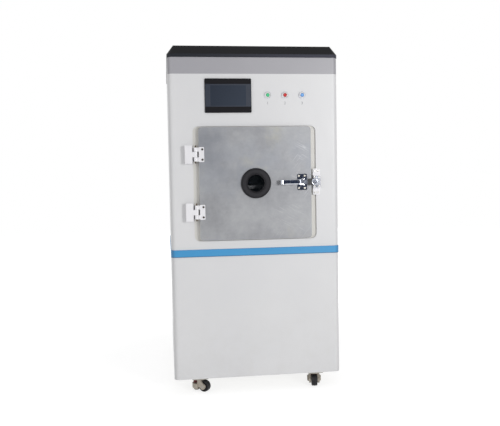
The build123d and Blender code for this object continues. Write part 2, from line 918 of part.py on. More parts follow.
def latch_keeper():
    """The keeper: a plate with four screws and the hollow stud that the strap's eye drops over."""
    plate = plate_y(keeper_plate_x, latch_z, keeper_width, keeper_height, keeper_radius, keeper_face,
                    door_front)
    tip = keeper_face - keeper_stud_reach
    stud = rod_y(keeper_x, tip, keeper_face, latch_z, keeper_stud_radius)
    stud = fillet(stud.faces().sort_by(Axis.Y)[0].edges(), keeper_stud_fillet)
    stud = stud - rod_y(keeper_x, tip - past, keeper_face - past, latch_z, keeper_stud_bore)
    for x, z in keeper_screw_places():
        plate = plate - screw_hole(x, keeper_face - past, door_front + past, z)
    return plate + stud


def bracket_screws():
    """The screws of the bracket and of the keeper."""
    low = [screw_y(x, front_y - bracket_thickness, z) for x, z in bracket_screw_places()]
    high = [screw_y(x, keeper_face, z, screw_length / 2) for x, z in keeper_screw_places()]
    return Compound(low + high)


# Controls


def touch_panel_z():
    """The middle height of the touch panel."""
    return base_z + panel_rise


def touch_panel_window():
    """The hole in the front panel for the touch panel's body."""
    gap = panel_body_margin - panel_fit
    return plate_y(panel_x, touch_panel_z(), panel_width - 2 * gap, panel_height - 2 * gap, panel_body_radius,
                   front_y - past, inside_front + past)


def touch_panel_case():
    """The touch panel's case: a proud bezel, the pocket for the screen and the body behind."""
    z = touch_panel_z()
    bezel = plate_y(panel_x, z, panel_width, panel_height, panel_radius, front_y - panel_proud, front_y)
    bezel = chamfer(bezel.faces().sort_by(Axis.Y)[0].edges(), panel_chamfer)
    body = plate_y(panel_x, z, panel_width - 2 * panel_body_margin, panel_height - 2 * panel_body_margin,
                   panel_body_radius, front_y, front_y + panel_body_depth)
    pocket = plate_y(panel_x, z + screen_shift, panel_width - 2 * screen_margin, screen_height, screen_radius,
                     front_y - panel_proud - past, front_y - panel_proud + screen_thickness)
    return bezel + body - pocket


def touch_panel_screen():
    """The glass sheet over the display."""
    y0 = front_y - panel_proud
    gap = screen_margin + screen_clear
    return plate_y(panel_x, touch_panel_z() + screen_shift, panel_width - 2 * gap,
                   screen_height - 2 * screen_clear, screen_radius, y0 + screen_clear, y0 + screen_thickness)


def button_places():
    """The buttons' places from left to right."""
    return [button_x + step * button_pitch for step in (-1, 0, 1)]


def button_z():
    """The height of the buttons' axes."""
    return base_z + button_rise


def button_housings():
    """The metal bezels with their threaded tubes, closed at the back."""
    housings = []
    face = front_y - button_proud
    tail = front_y + button_tube_length
    floor = face + button_cap_length + button_travel
    points = [(0, tail), (button_tube_radius, tail), (button_tube_radius, front_y), (button_radius, front_y),
              (button_radius, face + button_rim), (button_radius - button_rim, face),
              (button_bore + button_rim, face), (button_bore, face + button_countersink),
              (button_bore, floor), (0, floor)]
    for x in button_places():
        housings.append(turned_y(points, x, button_z()))
    return Compound(housings)


def button_cap(x):
    """One domed push cap."""
    face = front_y - button_proud - button_cap_proud
    cap = rod_y(x, face, front_y - button_proud + button_cap_length, button_z(), button_cap_radius)
    return fillet(cap.faces().sort_by(Axis.Y)[0].edges(), button_cap_fillet)


# Casters


def caster_places():
    """The casters' swivel axes in plan: front left, front right, rear left, rear right."""
    x = cabinet_width / 2 - caster_side_inset
    return [(side * x, y) for y in (front_y + caster_front_inset, rear_y - caster_front_inset)
            for side in (-1, 1)]


def place_caster(shape, index):
    """Turn a shape from the caster's own frame to its heading, and move it under the cabinet."""
    x, y = caster_places()[index]
    return Pos(x, y, 0) * Rot(0, 0, caster_headings[index]) * shape


def caster_plates():
    """The four top plates with their bolt holes."""
    plates = []
    outline = RectangleRounded(caster_plate_size, caster_plate_size, caster_plate_radius)
    plate = Pos(0, 0, base_z - caster_plate_thickness) * extrude(outline, caster_plate_thickness)
    for dx in mirrored_pair(caster_bolt_spacing / 2):
        for dy in mirrored_pair(caster_bolt_spacing / 2):
            plate = plate - rod_z(dx, dy, 0, base_z + past, caster_bolt_radius)
    for x, y in caster_places():
        plates.append(Pos(x, y, 0) * plate)
    return Compound(plates)


def caster_fork(index):
    """The die-cast body: a round cup over the foot, two arms to the axle and a neck up to the plate."""
    half = wheel_width / 2 + wheel_gap
    reach = half + fork_arm
    plate_low = base_z - caster_plate_thickness
    bridge_top = plate_low - swivel_drop
    bridge_low = bridge_top - fork_bridge
    body = rod_z(-cup_offset, 0, cup_lift, cup_top, cup_radius)
    body = fillet(body.edges().group_by(Axis.Z)[0], cup_fillet)
    body = body & block(-cup_offset - cup_radius, fork_back, -cup_radius, cup_radius, cup_lift, cup_top)
    body = body - rod_z(-foot_offset, 0, cup_lift - past, cup_lift + foot_height, foot_radius + foot_clear)
    profile = Polyline((-fork_back, cup_top - fork_arm), (wheel_trail, wheel_radius - fork_eye + past),
                       (wheel_trail + fork_eye - past, wheel_radius), (fork_nose, bridge_top),
                       (-fork_back, bridge_top), close=True)
    for inner, outer in ((-reach, -half), (half, reach)):
        arm = rod_y(wheel_trail, inner, outer, wheel_radius, fork_eye)
        body = body + arm + extrude(Plane.XZ.offset(-outer) * make_face(profile), outer - inner)
    body = body + block(-fork_back, fork_nose, -half - past, half + past, bridge_low, bridge_top)
    body = body + rod_z(0, 0, bridge_low, bridge_top, reach)
    body = body - rod_z(-foot_offset, 0, cup_top, bridge_low, thumbwheel_radius + foot_clear)
    body = body + rod_z(0, 0, bridge_top, plate_low - swivel_clear, swivel_radius)
    body = body - rod_y(wheel_trail, -half, half, wheel_radius, wheel_radius + wheel_gap)
    body = body - rod_z(-foot_offset, 0, 0, bridge_top - swivel_clear, stem_radius + running_clearance)
    body = body - rod_y(wheel_trail, -reach - past, reach + past, wheel_radius,
                        axle_radius + running_clearance)
    return place_caster(body, index)


def caster_wheel(index):
    """The wheel with rounded treads, turning with its axle."""
    half = wheel_width / 2
    wheel = rod_y(wheel_trail, -half, half, wheel_radius, wheel_radius)
    wheel = fillet(wheel.edges(), wheel_edge)
    reach = half + wheel_gap + fork_arm
    axle = rod_y(wheel_trail, -reach, reach, wheel_radius, axle_radius)
    return place_caster(wheel + axle, index)


def caster_foot(index):
    """The levelling foot on its threaded stem."""
    pad = rod_z(-foot_offset, 0, foot_lift, foot_lift + foot_height, foot_radius)
    pad = chamfer(pad.edges().group_by(Axis.Z)[0], foot_chamfer)
    stem = rod_z(-foot_offset, 0, foot_lift, cup_top + thumbwheel_height + stem_overrun, stem_radius)
    return place_caster(pad + stem, index)


def caster_thumbwheel(index):
    """The notched wheel that screws the foot down."""
    low = cup_top + swivel_clear
    top = low + thumbwheel_height
    circle = thumbwheel_radius + notch_outset
    ring = rod_z(-foot_offset, 0, low, top, thumbwheel_radius)
    for notch in range(thumbwheel_notches):
        turn = 2 * pi * notch / thumbwheel_notches
        ring = ring - rod_z(circle * cos(turn) - foot_offset, circle * sin(turn), low - past, top + past,
                            notch_radius)
    ring = ring - rod_z(-foot_offset, 0, low - past, top + past, stem_radius + running_clearance)
    return place_caster(ring, index)


# Inside and rear


def exhaust_z():
    """The height of the exhaust port."""
    return base_z + exhaust_rise


def inlet_z():
    """The height of the gas inlets."""
    return base_z + inlet_rise


def inlet_places():
    """The gas inlets' places."""
    return [inlet_x, inlet_x + inlet_pitch]


def gland_z():
    """The height of the cable gland."""
    return base_z + gland_rise


def exhaust_port():
    """The flanged exhaust tube through the rear panel."""
    outer = exhaust_bore + exhaust_wall
    end = rear_y + rear_projection
    start = end - exhaust_length
    port = rod_y(exhaust_x, start, end, exhaust_z(), outer)
    port = port + rod_y(exhaust_x, end - exhaust_flange_thickness, end, exhaust_z(), exhaust_flange_radius)
    port = port + rod_y(exhaust_x, rear_y, rear_y + exhaust_collar_thickness, exhaust_z(),
                        outer + exhaust_collar)
    return port - rod_y(exhaust_x, start - past, end + past, exhaust_z(), exhaust_bore)


def rear_ports():
    """The exhaust port and the two bulkhead fittings for process gas."""
    fittings = [exhaust_port()]
    for x in inlet_places():
        end = rear_y + rear_projection - inlet_shortfall
        start = end - inlet_length
        body = rod_y(x, start, end, inlet_z(), inlet_neck)
        hexagon = RegularPolygon(inlet_hex, 6)
        nut = extrude(Plane.XZ.offset(-rear_y - inlet_nut) * Pos(x, inlet_z()) * hexagon, inlet_nut)
        fittings.append(body + nut - rod_y(x, start - past, end + past, inlet_z(), inlet_bore))
    return Compound(fittings)


def cable_gland():
    """The empty cable gland at the bottom of the rear panel."""
    start = rear_y - gland_length / 2
    end = rear_y + gland_length / 2
    body = rod_y(gland_x, start, end, gland_z(), gland_radius - gland_clear)
    hexagon = RegularPolygon(gland_nut_radius, 6)
    nut = extrude(Plane.XZ.offset(-rear_y - gland_nut) * Pos(gland_x, gland_z()) * hexagon, gland_nut)
    return body + nut - rod_y(gland_x, start - past, end + past, gland_z(), gland_bore)


def pipe_y():
    """The pipe's way down, behind the chamber."""
    return chamber_back + pipe_bend + pipe_radius


def pump_y():
    """The front of the vacuum pump, whose inlet is right under the pipe."""
    return pipe_y() + 2 * pipe_radius - pump_depth


def vacuum_pump():
    """The rotary vane pump: a finned oil case with a flange-mounted motor."""
    y0 = pump_y()
    y1 = y0 + pump_depth
    y2 = y1 + motor_length
    floor = base_z + pan_thickness
    half = pump_width / 2
    case = block(pump_x - half, pump_x + half, y0, y1, floor, floor + pump_height)
    case = fillet(case.edges().filter_by(Axis.Y), pump_fillet)
    step = pump_depth / pump_fin_count
    reach = half + pump_fin_height
    for fin in range(pump_fin_count):
        y = y0 + fin * step + (step - pump_fin_thickness) / 2
        case = case + block(pump_x - reach, pump_x + reach, y, y + pump_fin_thickness,
                            floor + pump_fin_margin, floor + pump_height - pump_fin_margin)
    motor = rod_y(pump_x, y1, y2, floor + motor_radius + motor_lift, motor_radius)
    foot = block(pump_x - motor_foot_half, pump_x + motor_foot_half, y1 + motor_foot_margin,
                 y2 - motor_foot_margin, floor, floor + motor_radius)
    return case + motor + foot


def pump_port_x():
    """The chamber's pump port is above the pump's inlet."""
    return pump_x + pump_width / 4


def pump_port_z():
    """The height of the chamber's pump port."""
    return chamber_floor + pump_port_rise


def pump_pipe():
    """The bent pipe from the pump's inlet up to the chamber's rear port."""
    x = pump_port_x()
    z = pump_port_z()
    low = base_z + pan_thickness + pump_height
    route = FilletPolyline((x, chamber_back, z), (x, pipe_y(), z), (x, pipe_y(), low), radius=pipe_bend)
    section = Plane(origin=(x, chamber_back, z), z_dir=(0, 1, 0)) * Circle(pipe_radius)
    return sweep(section, route)


def radio_generator():
    """The radio frequency generator in its own case."""
    half = generator_width / 2
    floor = base_z + pan_thickness
    y0 = middle_y - generator_depth / 2
    case = block(generator_x - half, generator_x + half, y0, y0 + generator_depth, floor,
                 floor + generator_height)
    return fillet(case.edges().filter_by(Axis.Y), generator_fillet)


def matching_unit():
    """The matching unit on the back of the chamber."""
    x0 = pump_port_x() + 2 * pipe_radius + matching_gap
    z0 = door_z - matching_height / 2
    unit = block(x0, x0 + matching_width, chamber_back, chamber_back + matching_depth, z0,
                 z0 + matching_height)
    return fillet(unit.edges().filter_by(Axis.Y), generator_fillet)


# All sub-parts by name
parts = {
    "lower_front_panel": lower_front_panel(),
    "upper_front_panel": upper_front_panel(),
    "left_side_panel": side_panel(-1),
    "right_side_panel": side_panel(1),
    "rear_panel": rear_panel(),
    "header_band": header_band(),
    "stripe_band": stripe_band(),
    "top_cap": top_cap(),
    "frame": frame(),
    "base_pan": base_pan(),
    "chamber_flange": chamber_flange(),
    "door_seal": door_seal(),
    "chamber_box": chamber_box(),
    "electrode_shelves": electrode_shelves(),
    "shelf_spacers": shelf_spacers(),
    "door_plate": door_plate(),
    "viewport_ring": viewport_ring(),
    "viewport_glass": viewport_glass(),
    "viewport_gasket": viewport_gasket(),
    "hinge_blocks": hinge_blocks(),
    "hinge_leaves": hinge_leaves(),
    "hinge_pins": hinge_pins(),
    "door_screws": door_screws(),
    "latch_base": latch_base(),
    "latch_lever": latch_lever(),
    "latch_pivot_rivets": latch_pivot_rivets(),
    "latch_link_pin": latch_link_pin(),
    "latch_strap": latch_strap(),
    "keeper_bracket": keeper_bracket(),
    "latch_keeper": latch_keeper(),
    "bracket_screws": bracket_screws(),
    "touch_panel_case": touch_panel_case(),
    "touch_panel_screen": touch_panel_screen(),
    "button_housings": button_housings(),
    "caster_plates": caster_plates(),
    "rear_ports": rear_ports(),
    "cable_gland": cable_gland(),
    "vacuum_pump": vacuum_pump(),
    "pump_pipe": pump_pipe(),
    "radio_generator": radio_generator(),
    "matching_unit": matching_unit(),
}
for name, x in zip(("button_cap_green", "button_cap_red", "button_cap_blue"), button_places()):
    parts[name] = button_cap(x)
for number in range(len(caster_headings)):
    parts["caster_fork_" + str(number + 1)] = caster_fork(number)
    parts["caster_wheel_" + str(number + 1)] = caster_wheel(number)
    parts["caster_foot_" + str(number + 1)] = caster_foot(number)
    parts["caster_thumbwheel_" + str(number + 1)] = caster_thumbwheel(number)

os.makedirs("parts", exist_ok=True)
for name, shape in parts.items():
    export_step(shape, "parts/" + name + ".step")
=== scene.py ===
# %% [markdown]
# # A plasma cleaner, dressed for its portrait
#
# The construction comes from the CAD model as a fixed frame: panels, door, hinges, latch, casters.
# This lesson gives each of those parts its real finish, and adds the small curved pieces whose
# shape plain solids only hint at: the pressed lever, the turned rings, the moulded wheels.

import json
from math import pi, radians

import bmesh
import bpy
import numpy as np
from mathutils import Matrix, Vector


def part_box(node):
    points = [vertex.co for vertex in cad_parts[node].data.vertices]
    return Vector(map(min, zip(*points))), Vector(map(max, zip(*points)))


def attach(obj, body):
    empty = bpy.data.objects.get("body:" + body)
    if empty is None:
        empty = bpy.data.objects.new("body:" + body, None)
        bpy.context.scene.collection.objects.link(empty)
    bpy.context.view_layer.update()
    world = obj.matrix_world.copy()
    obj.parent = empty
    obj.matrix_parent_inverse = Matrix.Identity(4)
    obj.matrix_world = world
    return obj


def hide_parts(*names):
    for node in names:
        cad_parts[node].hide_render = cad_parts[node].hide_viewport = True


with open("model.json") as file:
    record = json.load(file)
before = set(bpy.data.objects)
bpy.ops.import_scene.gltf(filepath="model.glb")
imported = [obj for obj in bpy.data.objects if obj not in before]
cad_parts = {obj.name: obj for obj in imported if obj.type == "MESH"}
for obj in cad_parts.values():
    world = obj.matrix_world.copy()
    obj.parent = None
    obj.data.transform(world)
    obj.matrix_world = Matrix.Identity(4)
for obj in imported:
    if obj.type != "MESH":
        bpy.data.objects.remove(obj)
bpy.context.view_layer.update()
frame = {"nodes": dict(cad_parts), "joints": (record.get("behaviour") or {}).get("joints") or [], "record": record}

# %% [markdown]
# ## Places
#
# Pieces are placed from the boxes of the CAD nodes where those say enough, and what is left is a
# named number beside its piece. The front panel's face and the lower edge of the body are used
# again and again, so they are read here once.

# %% Planes and centres


def box(name):
    """The lowest and highest corner of a CAD node, as two arrays."""
    low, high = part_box(name)
    return np.array(low), np.array(high)


def middle(name):
    """The middle of a CAD node's box."""
    low, high = box(name)
    return (low + high) / 2


PANEL_FACE = box("upper_front_panel")[0][1]
BODY_FLOOR = box("lower_front_panel")[0][2]
print("panel face y", round(PANEL_FACE, 4), "body floor z", round(BODY_FLOOR, 4))


# %% [markdown]
# ## The camera
#
# The photograph was taken a little to the left of the machine, from almost three metres away and
# at the height of the door. The place, the turn and the lens were fitted to the cabinet's own
# edges, so the camera is stated as plain numbers from that fit.

# %% Camera
CAMERA_PLACE = (-0.3844, -3.1772, BODY_FLOOR + 0.8696)
CAMERA_TURNS = {"yaw": -7.317, "pitch": -3.017, "roll": 1.02}
FOCAL_PIXELS = 645.0
PICTURE_WIDTH = 500.0
SENSOR = 36.0


def make_camera():
    """Stand the camera in front of the machine, turned by yaw, then pitch, then roll."""
    data = bpy.data.cameras.new("portrait_camera")
    data.sensor_fit = "HORIZONTAL"
    data.sensor_width = SENSOR
    data.lens = FOCAL_PIXELS / PICTURE_WIDTH * SENSOR
    camera = bpy.data.objects.new("portrait_camera", data)
    bpy.context.scene.collection.objects.link(camera)
    yaw = Matrix.Rotation(radians(CAMERA_TURNS["yaw"]), 4, "Z")
    pitch = Matrix.Rotation(radians(CAMERA_TURNS["pitch"]), 4, "X")
    roll = Matrix.Rotation(radians(CAMERA_TURNS["roll"]), 4, "Y")
    level = Matrix.Rotation(pi / 2, 4, "X")
    camera.matrix_world = Matrix.Translation(CAMERA_PLACE) @ yaw @ pitch @ roll @ level
    bpy.context.scene.camera = camera
    return camera


camera = make_camera()
print("camera at", np.round(CAMERA_PLACE, 4), "lens", round(camera.data.lens, 2), "mm")

# %% [markdown]
# ## Writing finishes as formulas
#
# A finish is a formula over the surface: a base tone, plus a little cloudiness, minus some dirt.
# Node graphs hide that formula in boxes and noodles, so a small class wraps a socket and lets
# Python's own operators add the Math nodes. Everything else comes from one method, `node`.

# %% A socket with arithmetic


def connect(tree, value, slot):
    """Link a Shade into a socket, or set a plain value on it."""
    if isinstance(value, Shade):
        tree.links.new(value.socket, slot)
    else:
        slot.default_value = value


class Shade:
    """A node's output with arithmetic: a + b, 1 - a and so on add the Math nodes they need."""

    def __init__(self, tree, socket):
        self.tree = tree
        self.socket = socket

    def calculate(self, operation, *values):
        """One Math node on the given values, in their order."""
        node = self.tree.nodes.new("ShaderNodeMath")
        node.operation = operation
        for value, slot in zip(values, node.inputs):
            connect(self.tree, value, slot)
        return Shade(self.tree, node.outputs[0])

    def __add__(self, other):
        return self.calculate("ADD", self, other)

    def __radd__(self, other):
        return self.calculate("ADD", other, self)

    def __sub__(self, other):
        return self.calculate("SUBTRACT", self, other)

    def __rsub__(self, other):
        return self.calculate("SUBTRACT", other, self)

    def __mul__(self, other):
        return self.calculate("MULTIPLY", self, other)

    def __rmul__(self, other):
        return self.calculate("MULTIPLY", other, self)

    def __truediv__(self, other):
        return self.calculate("DIVIDE", self, other)

    def __pow__(self, other):
        return self.calculate("POWER", self, other)

    def __abs__(self):
        return self.calculate("ABSOLUTE", self)

    def wave(self):
        """The sine, for ribs and lathe circles."""
        return self.calculate("SINE", self)

    def larger(self, other):
        """The larger of two values."""
        return self.calculate("MAXIMUM", self, other)

    def smaller(self, other):
        """The smaller of two values."""
        return self.calculate("MINIMUM", self, other)

    def ramp(self, low, high):
        """0 below low, 1 above high, with a smooth way between; low may be the higher one."""
        node = self.tree.nodes.new("ShaderNodeMapRange")
        node.interpolation_type = "SMOOTHSTEP"
        connect(self.tree, self, node.inputs["Value"])
        node.inputs["From Min"].default_value = low
        node.inputs["From Max"].default_value = high
        return Shade(self.tree, node.outputs[0])


def tone(text):
    """A colour as it looks on a screen, such as d8d8d8, turned into linear light."""
    shown = np.array([int(text[i:i + 2], 16) for i in (0, 2, 4)]) / 255
    linear = np.where(shown <= 0.04045, shown / 12.92, ((shown + 0.055) / 1.055) ** 2.4)
    return (*linear.tolist(), 1.0)


print("mid grey 808080 is", round(tone("808080")[0], 3), "in linear light")

# %% [markdown]
# Next comes the finish itself. It owns one material, reads Object coordinates, which are metres
# in the machine's own frame, and offers the few patterns that painted and machined metal need.

# %% A finish


class Finish:
    """One material: node() adds any node, and the rest are the patterns that paint and metal share."""

    def __init__(self, name, **constants):
        self.material = bpy.data.materials.new(name)
        self.material.use_nodes = True
        self.tree = self.material.node_tree
        self.shader = self.tree.nodes["Principled BSDF"]
        for key, value in constants.items():
            self.shader.inputs[key.replace("_", " ")].default_value = value
        self.place = self.node("ShaderNodeTexCoord", out="Object")
        self.x, self.y, self.z = (
            self.node("ShaderNodeSeparateXYZ", inputs={"Vector": self.place}, out=axis) for axis in "XYZ")

    def node(self, kind, settings=None, inputs=None, out=0):
        """Any node: its settings first, then its sockets, and the output asked for."""
        node = self.tree.nodes.new(kind)
        for key, value in (settings or {}).items():
            setattr(node, key, value)
        for key, value in (inputs or {}).items():
            connect(self.tree, value, node.inputs[key])
        return Shade(self.tree, node.outputs[out])

    def grain(self, scale, detail=3.0, roughness=0.55, stretch=(1.0, 1.0, 1.0), shift=0.0):
        """Fractal noise between 0 and 1, its features 1/scale metres wide, drawn out along an axis."""
        place = self.node("ShaderNodeMapping", inputs={
            "Vector": self.place, "Scale": stretch, "Location": (shift, shift, shift)})
        return self.node("ShaderNodeTexNoise", {"noise_dimensions": "3D"}, {
            "Vector": place, "Scale": scale, "Detail": detail, "Roughness": roughness}, "Fac")

    def cells(self, scale):
        """The distance to the nearest of many scattered points, 0 at each point."""
        return self.node("ShaderNodeTexVoronoi", {"feature": "F1"},
                         {"Vector": self.place, "Scale": scale}, "Distance")

    def away(self, centre):
        """The distance from an axis that runs from front to back through a point."""
        return ((self.x - centre[0]) ** 2.0 + (self.z - centre[2]) ** 2.0) ** 0.5

    def scratches(self, angle, scale, sharp):
        """Thin straight marks in one direction on the front: long noise cells, cut at their crests.

        Mapping scales before it turns, so the turn and the drawing out take a node each.
        """
        slanted = self.node("ShaderNodeMapping", inputs={
            "Vector": self.place, "Rotation": (0.0, radians(angle), 0.0)})
        drawn_out = self.node("ShaderNodeMapping", inputs={"Vector": slanted, "Scale": (0.06, 1.0, 1.0)})
        noise = self.node("ShaderNodeTexNoise", inputs={
            "Vector": drawn_out, "Scale": scale, "Detail": 1.0}, out="Fac")
        patches = self.grain(9.0, 1.0, shift=angle).ramp(0.5, 0.62)
        return noise.ramp(sharp, sharp + 0.04) * patches

    def mix(self, mask, below, above):
        """Two colours mixed by a mask."""
        node = self.tree.nodes.new("ShaderNodeMix")
        node.data_type = "RGBA"
        connect(self.tree, mask, node.inputs[0])
        connect(self.tree, below, node.inputs[6])
        connect(self.tree, above, node.inputs[7])
        return Shade(self.tree, node.outputs[2])

    def bump(self, height, distance, strength):
        """A Bump node into the shader's Normal."""
        normal = self.node("ShaderNodeBump", inputs={
            "Height": height, "Distance": distance, "Strength": strength}, out="Normal")
        connect(self.tree, normal, self.shader.inputs["Normal"])

    def give(self, **sockets):
        """Link varying values into the shader."""
        for key, value in sockets.items():
            connect(self.tree, value, self.shader.inputs[key.replace("_", " ")])


print("a finish reads metres and writes colour, roughness and bump")

# %% [markdown]
# ## Powder coat
#
# The panels are folded steel with a baked powder coat. Powder melts into a skin with a very fine
# "orange peel", a millimetre or two from crest to crest, and never quite one white: it is a touch
# warmer here, cooler there. Handling dulls it in soft patches, and dust settles low down. The
# rounded front corners carry painted shade: their colour is drawn darker there.

# %% Painted sheet
BEND_START, PANEL_SIDE, STRIPE_SIDE = 0.350, 0.369, 0.371
BEND_END, BEND_FRONT = PANEL_FACE + 0.020, PANEL_FACE + 0.002
DUST_FULL, DUST_SHARE = 0.07, 0.08


def front_corner(finish, side):
    """1 on the two rounded front corners, fading to 0 on the flat front and the flat sides."""
    return abs(finish.x).ramp(BEND_START, side) * finish.y.ramp(BEND_END, BEND_FRONT)


def powder_coat(name, light, dark, peel=0.00006, gloss=0.42, dust="b9b4aa", dust_height=0.0,
                corner_shade=0.0, **constants):
    """Two close tones in large clouds, dust that thins out upwards, painted corner shade, orange peel and dull
    marks.
    """
    finish = Finish(name, **constants)
    cloud = finish.grain(2.3, 3.0).ramp(0.3, 0.7)
    fleck = finish.grain(260.0, 2.0)
    body = finish.mix(cloud * 0.75 + fleck * 0.25, tone(dark), tone(light))
    smear = finish.grain(7.0, 4.0, stretch=(1.0, 1.0, 0.35)).ramp(0.48, 0.78)
    # Painted shade: the rounded front corners are drawn towards a darker grey.
    if corner_shade:
        body = finish.mix(front_corner(finish, PANEL_SIDE) * corner_shade, body, tone("6f6e74"))
    if dust_height:
        low = finish.z.ramp(dust_height, DUST_FULL) * finish.grain(22.0, 4.0).ramp(0.3, 0.8)
        body = finish.mix(low * DUST_SHARE, body, tone(dust))
    finish.give(Base_Color=body, Roughness=smear * 0.12 + fleck * 0.05 + (gloss - 0.06))
    finish.bump(finish.grain(620.0, 2.0) + finish.grain(95.0, 1.0) * 0.6, peel, 0.5)
    return finish.material


panel_white = powder_coat("panel_white", "dfdfe0", "dadadc", dust_height=0.62, corner_shade=0.16)
header_grey = powder_coat("header_grey", "a9a8ad", "a2a1a7", gloss=0.38, corner_shade=0.45)
hinge_white = powder_coat("hinge_white", "f1f0f3", "e9e8ec", peel=0.00003, gloss=0.30,
                          Coat_Weight=0.2, Coat_Roughness=0.12)
frame_grey = powder_coat("frame_grey", "9a9c9e", "8d9092", peel=0.00009, gloss=0.55)
pump_grey = powder_coat("pump_grey", "6c737a", "5f666e", peel=0.00010, gloss=0.50)
flange_cream = powder_coat("flange_cream", "e0ded9", "d8d6d0", peel=0.00004, gloss=0.45)
print("painted finishes:", panel_white.name, header_grey.name, hinge_white.name)

# %% [markdown]
# ## The cap
#
# The cap is a satin black pressing. Its upright lip carries a painted sheen: a cooler and slightly
# brighter grey than the black sloped sides, more so on the right.

# %% Cap
CAP_LOW = float(box("top_cap")[0][2])
CAP_HALF = 0.37
LIP_TOP, LIP_FULL = CAP_LOW + 0.0155, CAP_LOW + 0.0125


def satin_cap():
    """Black above, a bluish painted sheen on the lip, with the border where the slope begins."""
    finish = Finish("cap_dark", Specular_IOR_Level=0.15)
    cloud = finish.grain(5.0, 4.0)
    fleck = finish.grain(300.0, 2.0)
    lip = finish.z.ramp(LIP_TOP, LIP_FULL)
    # Painted sheen on the lip, lighter towards the right.
    painted_lip_sheen = finish.mix((finish.x + CAP_HALF).ramp(0.0, 2 * CAP_HALF), tone("23262c"), tone("3b3c47"))
    slope = finish.mix(cloud * 0.7 + fleck * 0.3, tone("0c0d0f"), tone("15161a"))
    body = finish.mix(lip, slope, painted_lip_sheen)
    finish.give(Base_Color=body, Roughness=cloud * 0.1 + fleck * 0.06 + 0.36)
    finish.bump(finish.grain(620.0, 2.0) + fleck * 0.4, 0.00005, 0.5)
    return finish.material


cap_dark = satin_cap()
print("cap lip from", round(CAP_LOW, 4))

# %% [markdown]
# ## The blue stripe
#
# The stripe is a bent and painted strip screwed over the seam between the two front panels. Its
# satin blue carries painted shade along both long folded edges, most along the lower one, and on
# its rounded ends; it also carries fine rubs from cleaning cloths that run along it.

# %% Stripe
STRIPE_LOW, STRIPE_HIGH = (corner[2] for corner in box("stripe_band"))


def satin_stripe():
    """A blue with painted shade near either long edge and on the rounded ends, with fine lengthwise rubs."""
    finish = Finish("stripe_blue", Coat_Weight=0.2, Coat_Roughness=0.2)
    away = (finish.z - STRIPE_LOW).smaller(STRIPE_HIGH - finish.z)
    rub = finish.grain(40.0, 3.0, stretch=(1.0, 1.0, 26.0))
    body = finish.mix(finish.grain(3.0, 2.0), tone("3391c9"), tone("3c98cf"))
    # Painted shade: darker along both long edges, deepest along the lower one, and on the rounded ends.
    body = finish.mix(away.ramp(0.003, 0.0) * 0.5, body, tone("38749f"))
    body = finish.mix((finish.z - STRIPE_LOW).ramp(0.0045, 0.0005) * 0.7, body, tone("1b4a6b"))
    body = finish.mix(front_corner(finish, STRIPE_SIDE) * 0.7, body, tone("1d5f92"))
    body = finish.mix(rub.ramp(0.62, 0.75) * 0.3, body, tone("7fbce2"))
    finish.give(Base_Color=body, Roughness=rub * 0.2 + 0.28)
    finish.bump(rub, 0.00004, 0.4)
    return finish.material


stripe_blue = satin_stripe()
print("stripe from", round(STRIPE_LOW, 4), "to", round(STRIPE_HIGH, 4))

# %% [markdown]
# ## The door's aluminium
#
# The door is a thick plate of cast aluminium, sanded and wiped but never lacquered, so it has
# clouded over: bluish where it was wiped wet, yellowish where fingers rest, with sanding lines
# that lie level across it and long slanting scratches on its right half. A cloudy colour alone
# looks like paint, so the same clouds also steer the roughness, as oxide does.

# %% Door plate
DOOR_MIDDLE = middle("door_plate")
DOOR_HALF = (box("door_plate")[1] - box("door_plate")[0]) / 2
SCRATCHED_FROM, SCRATCHED_FULL = 0.02, 0.12


def clouded_aluminium():
    """Grey metal: big clouds, painted light to the right, blue and yellow stains, level sanding lines, worn edges,
    scratches.
    """
    finish = Finish("door_aluminium", Metallic=0.6)
    cloud = finish.grain(5.5, 5.0, 0.6).ramp(0.28, 0.72)
    mottle = finish.grain(24.0, 6.0, 0.7)
    sanding = finish.grain(90.0, 3.0, 0.6, stretch=(0.12, 1.0, 9.0))
    blue = finish.grain(3.4, 5.0, 0.6, shift=3.0).ramp(0.50, 0.66)
    yellow = finish.grain(4.6, 5.0, 0.62, shift=7.0).ramp(0.55, 0.70)
    # The across share is painted light: the plate is drawn lighter towards its right side.
    across = (finish.x - (DOOR_MIDDLE[0] - DOOR_HALF[0])) / (2 * DOOR_HALF[0])
    body = finish.mix(cloud * 0.55 + mottle * 0.7 + across * 0.1 - 0.2, tone("7c7d81"), tone("a7a8aa"))
    body = finish.mix(blue * 0.24, body, tone("828996"))
    body = finish.mix(yellow * 0.42, body, tone("a9a694"))
    body = finish.mix(sanding.ramp(0.55, 0.8) * 0.07, body, tone("c4c4c6"))
    marks = finish.scratches(52.0, 260.0, 0.63) + finish.scratches(-28.0, 230.0, 0.64)
    marks = marks * finish.x.ramp(SCRATCHED_FROM, SCRATCHED_FULL)
    body = finish.mix(marks * 0.15, body, tone("cacacc"))
    to_side = DOOR_HALF[0] - abs(finish.x - DOOR_MIDDLE[0])
    to_top = DOOR_HALF[2] - abs(finish.z - DOOR_MIDDLE[2])
    edge = to_side.smaller(to_top) + mottle * 0.003
    body = finish.mix(edge.ramp(0.0045, 0.001) * 0.5, body, tone("cfcfd0"))
    finish.give(Base_Color=body, Roughness=cloud * 0.10 + mottle * 0.10 + 0.40 - marks * 0.12)
    finish.bump(sanding * 0.7 + mottle * 0.5 - marks * 0.8, 0.00009, 0.5)
    return finish.material


door_aluminium = clouded_aluminium()
print("door middle", np.round(DOOR_MIDDLE, 4), "half size", np.round(DOOR_HALF, 4))

# %% [markdown]
# ## Bare, plated and polished metal
#
# Six more metals appear. Machined aluminium in the chamber keeps even tool lines. Stainless
# fittings are brushed from front to back. Zinc plate breaks into faint crystals. The latch is
# chromed: almost a mirror, so its marks are fingerprints and hairlines in the gloss. The hinge
# pins are browned by oil, and so are the door's screws on the side of the hinges.

# %% Metals
BROWNED_FROM, BROWNED_FULL = -0.14, -0.17


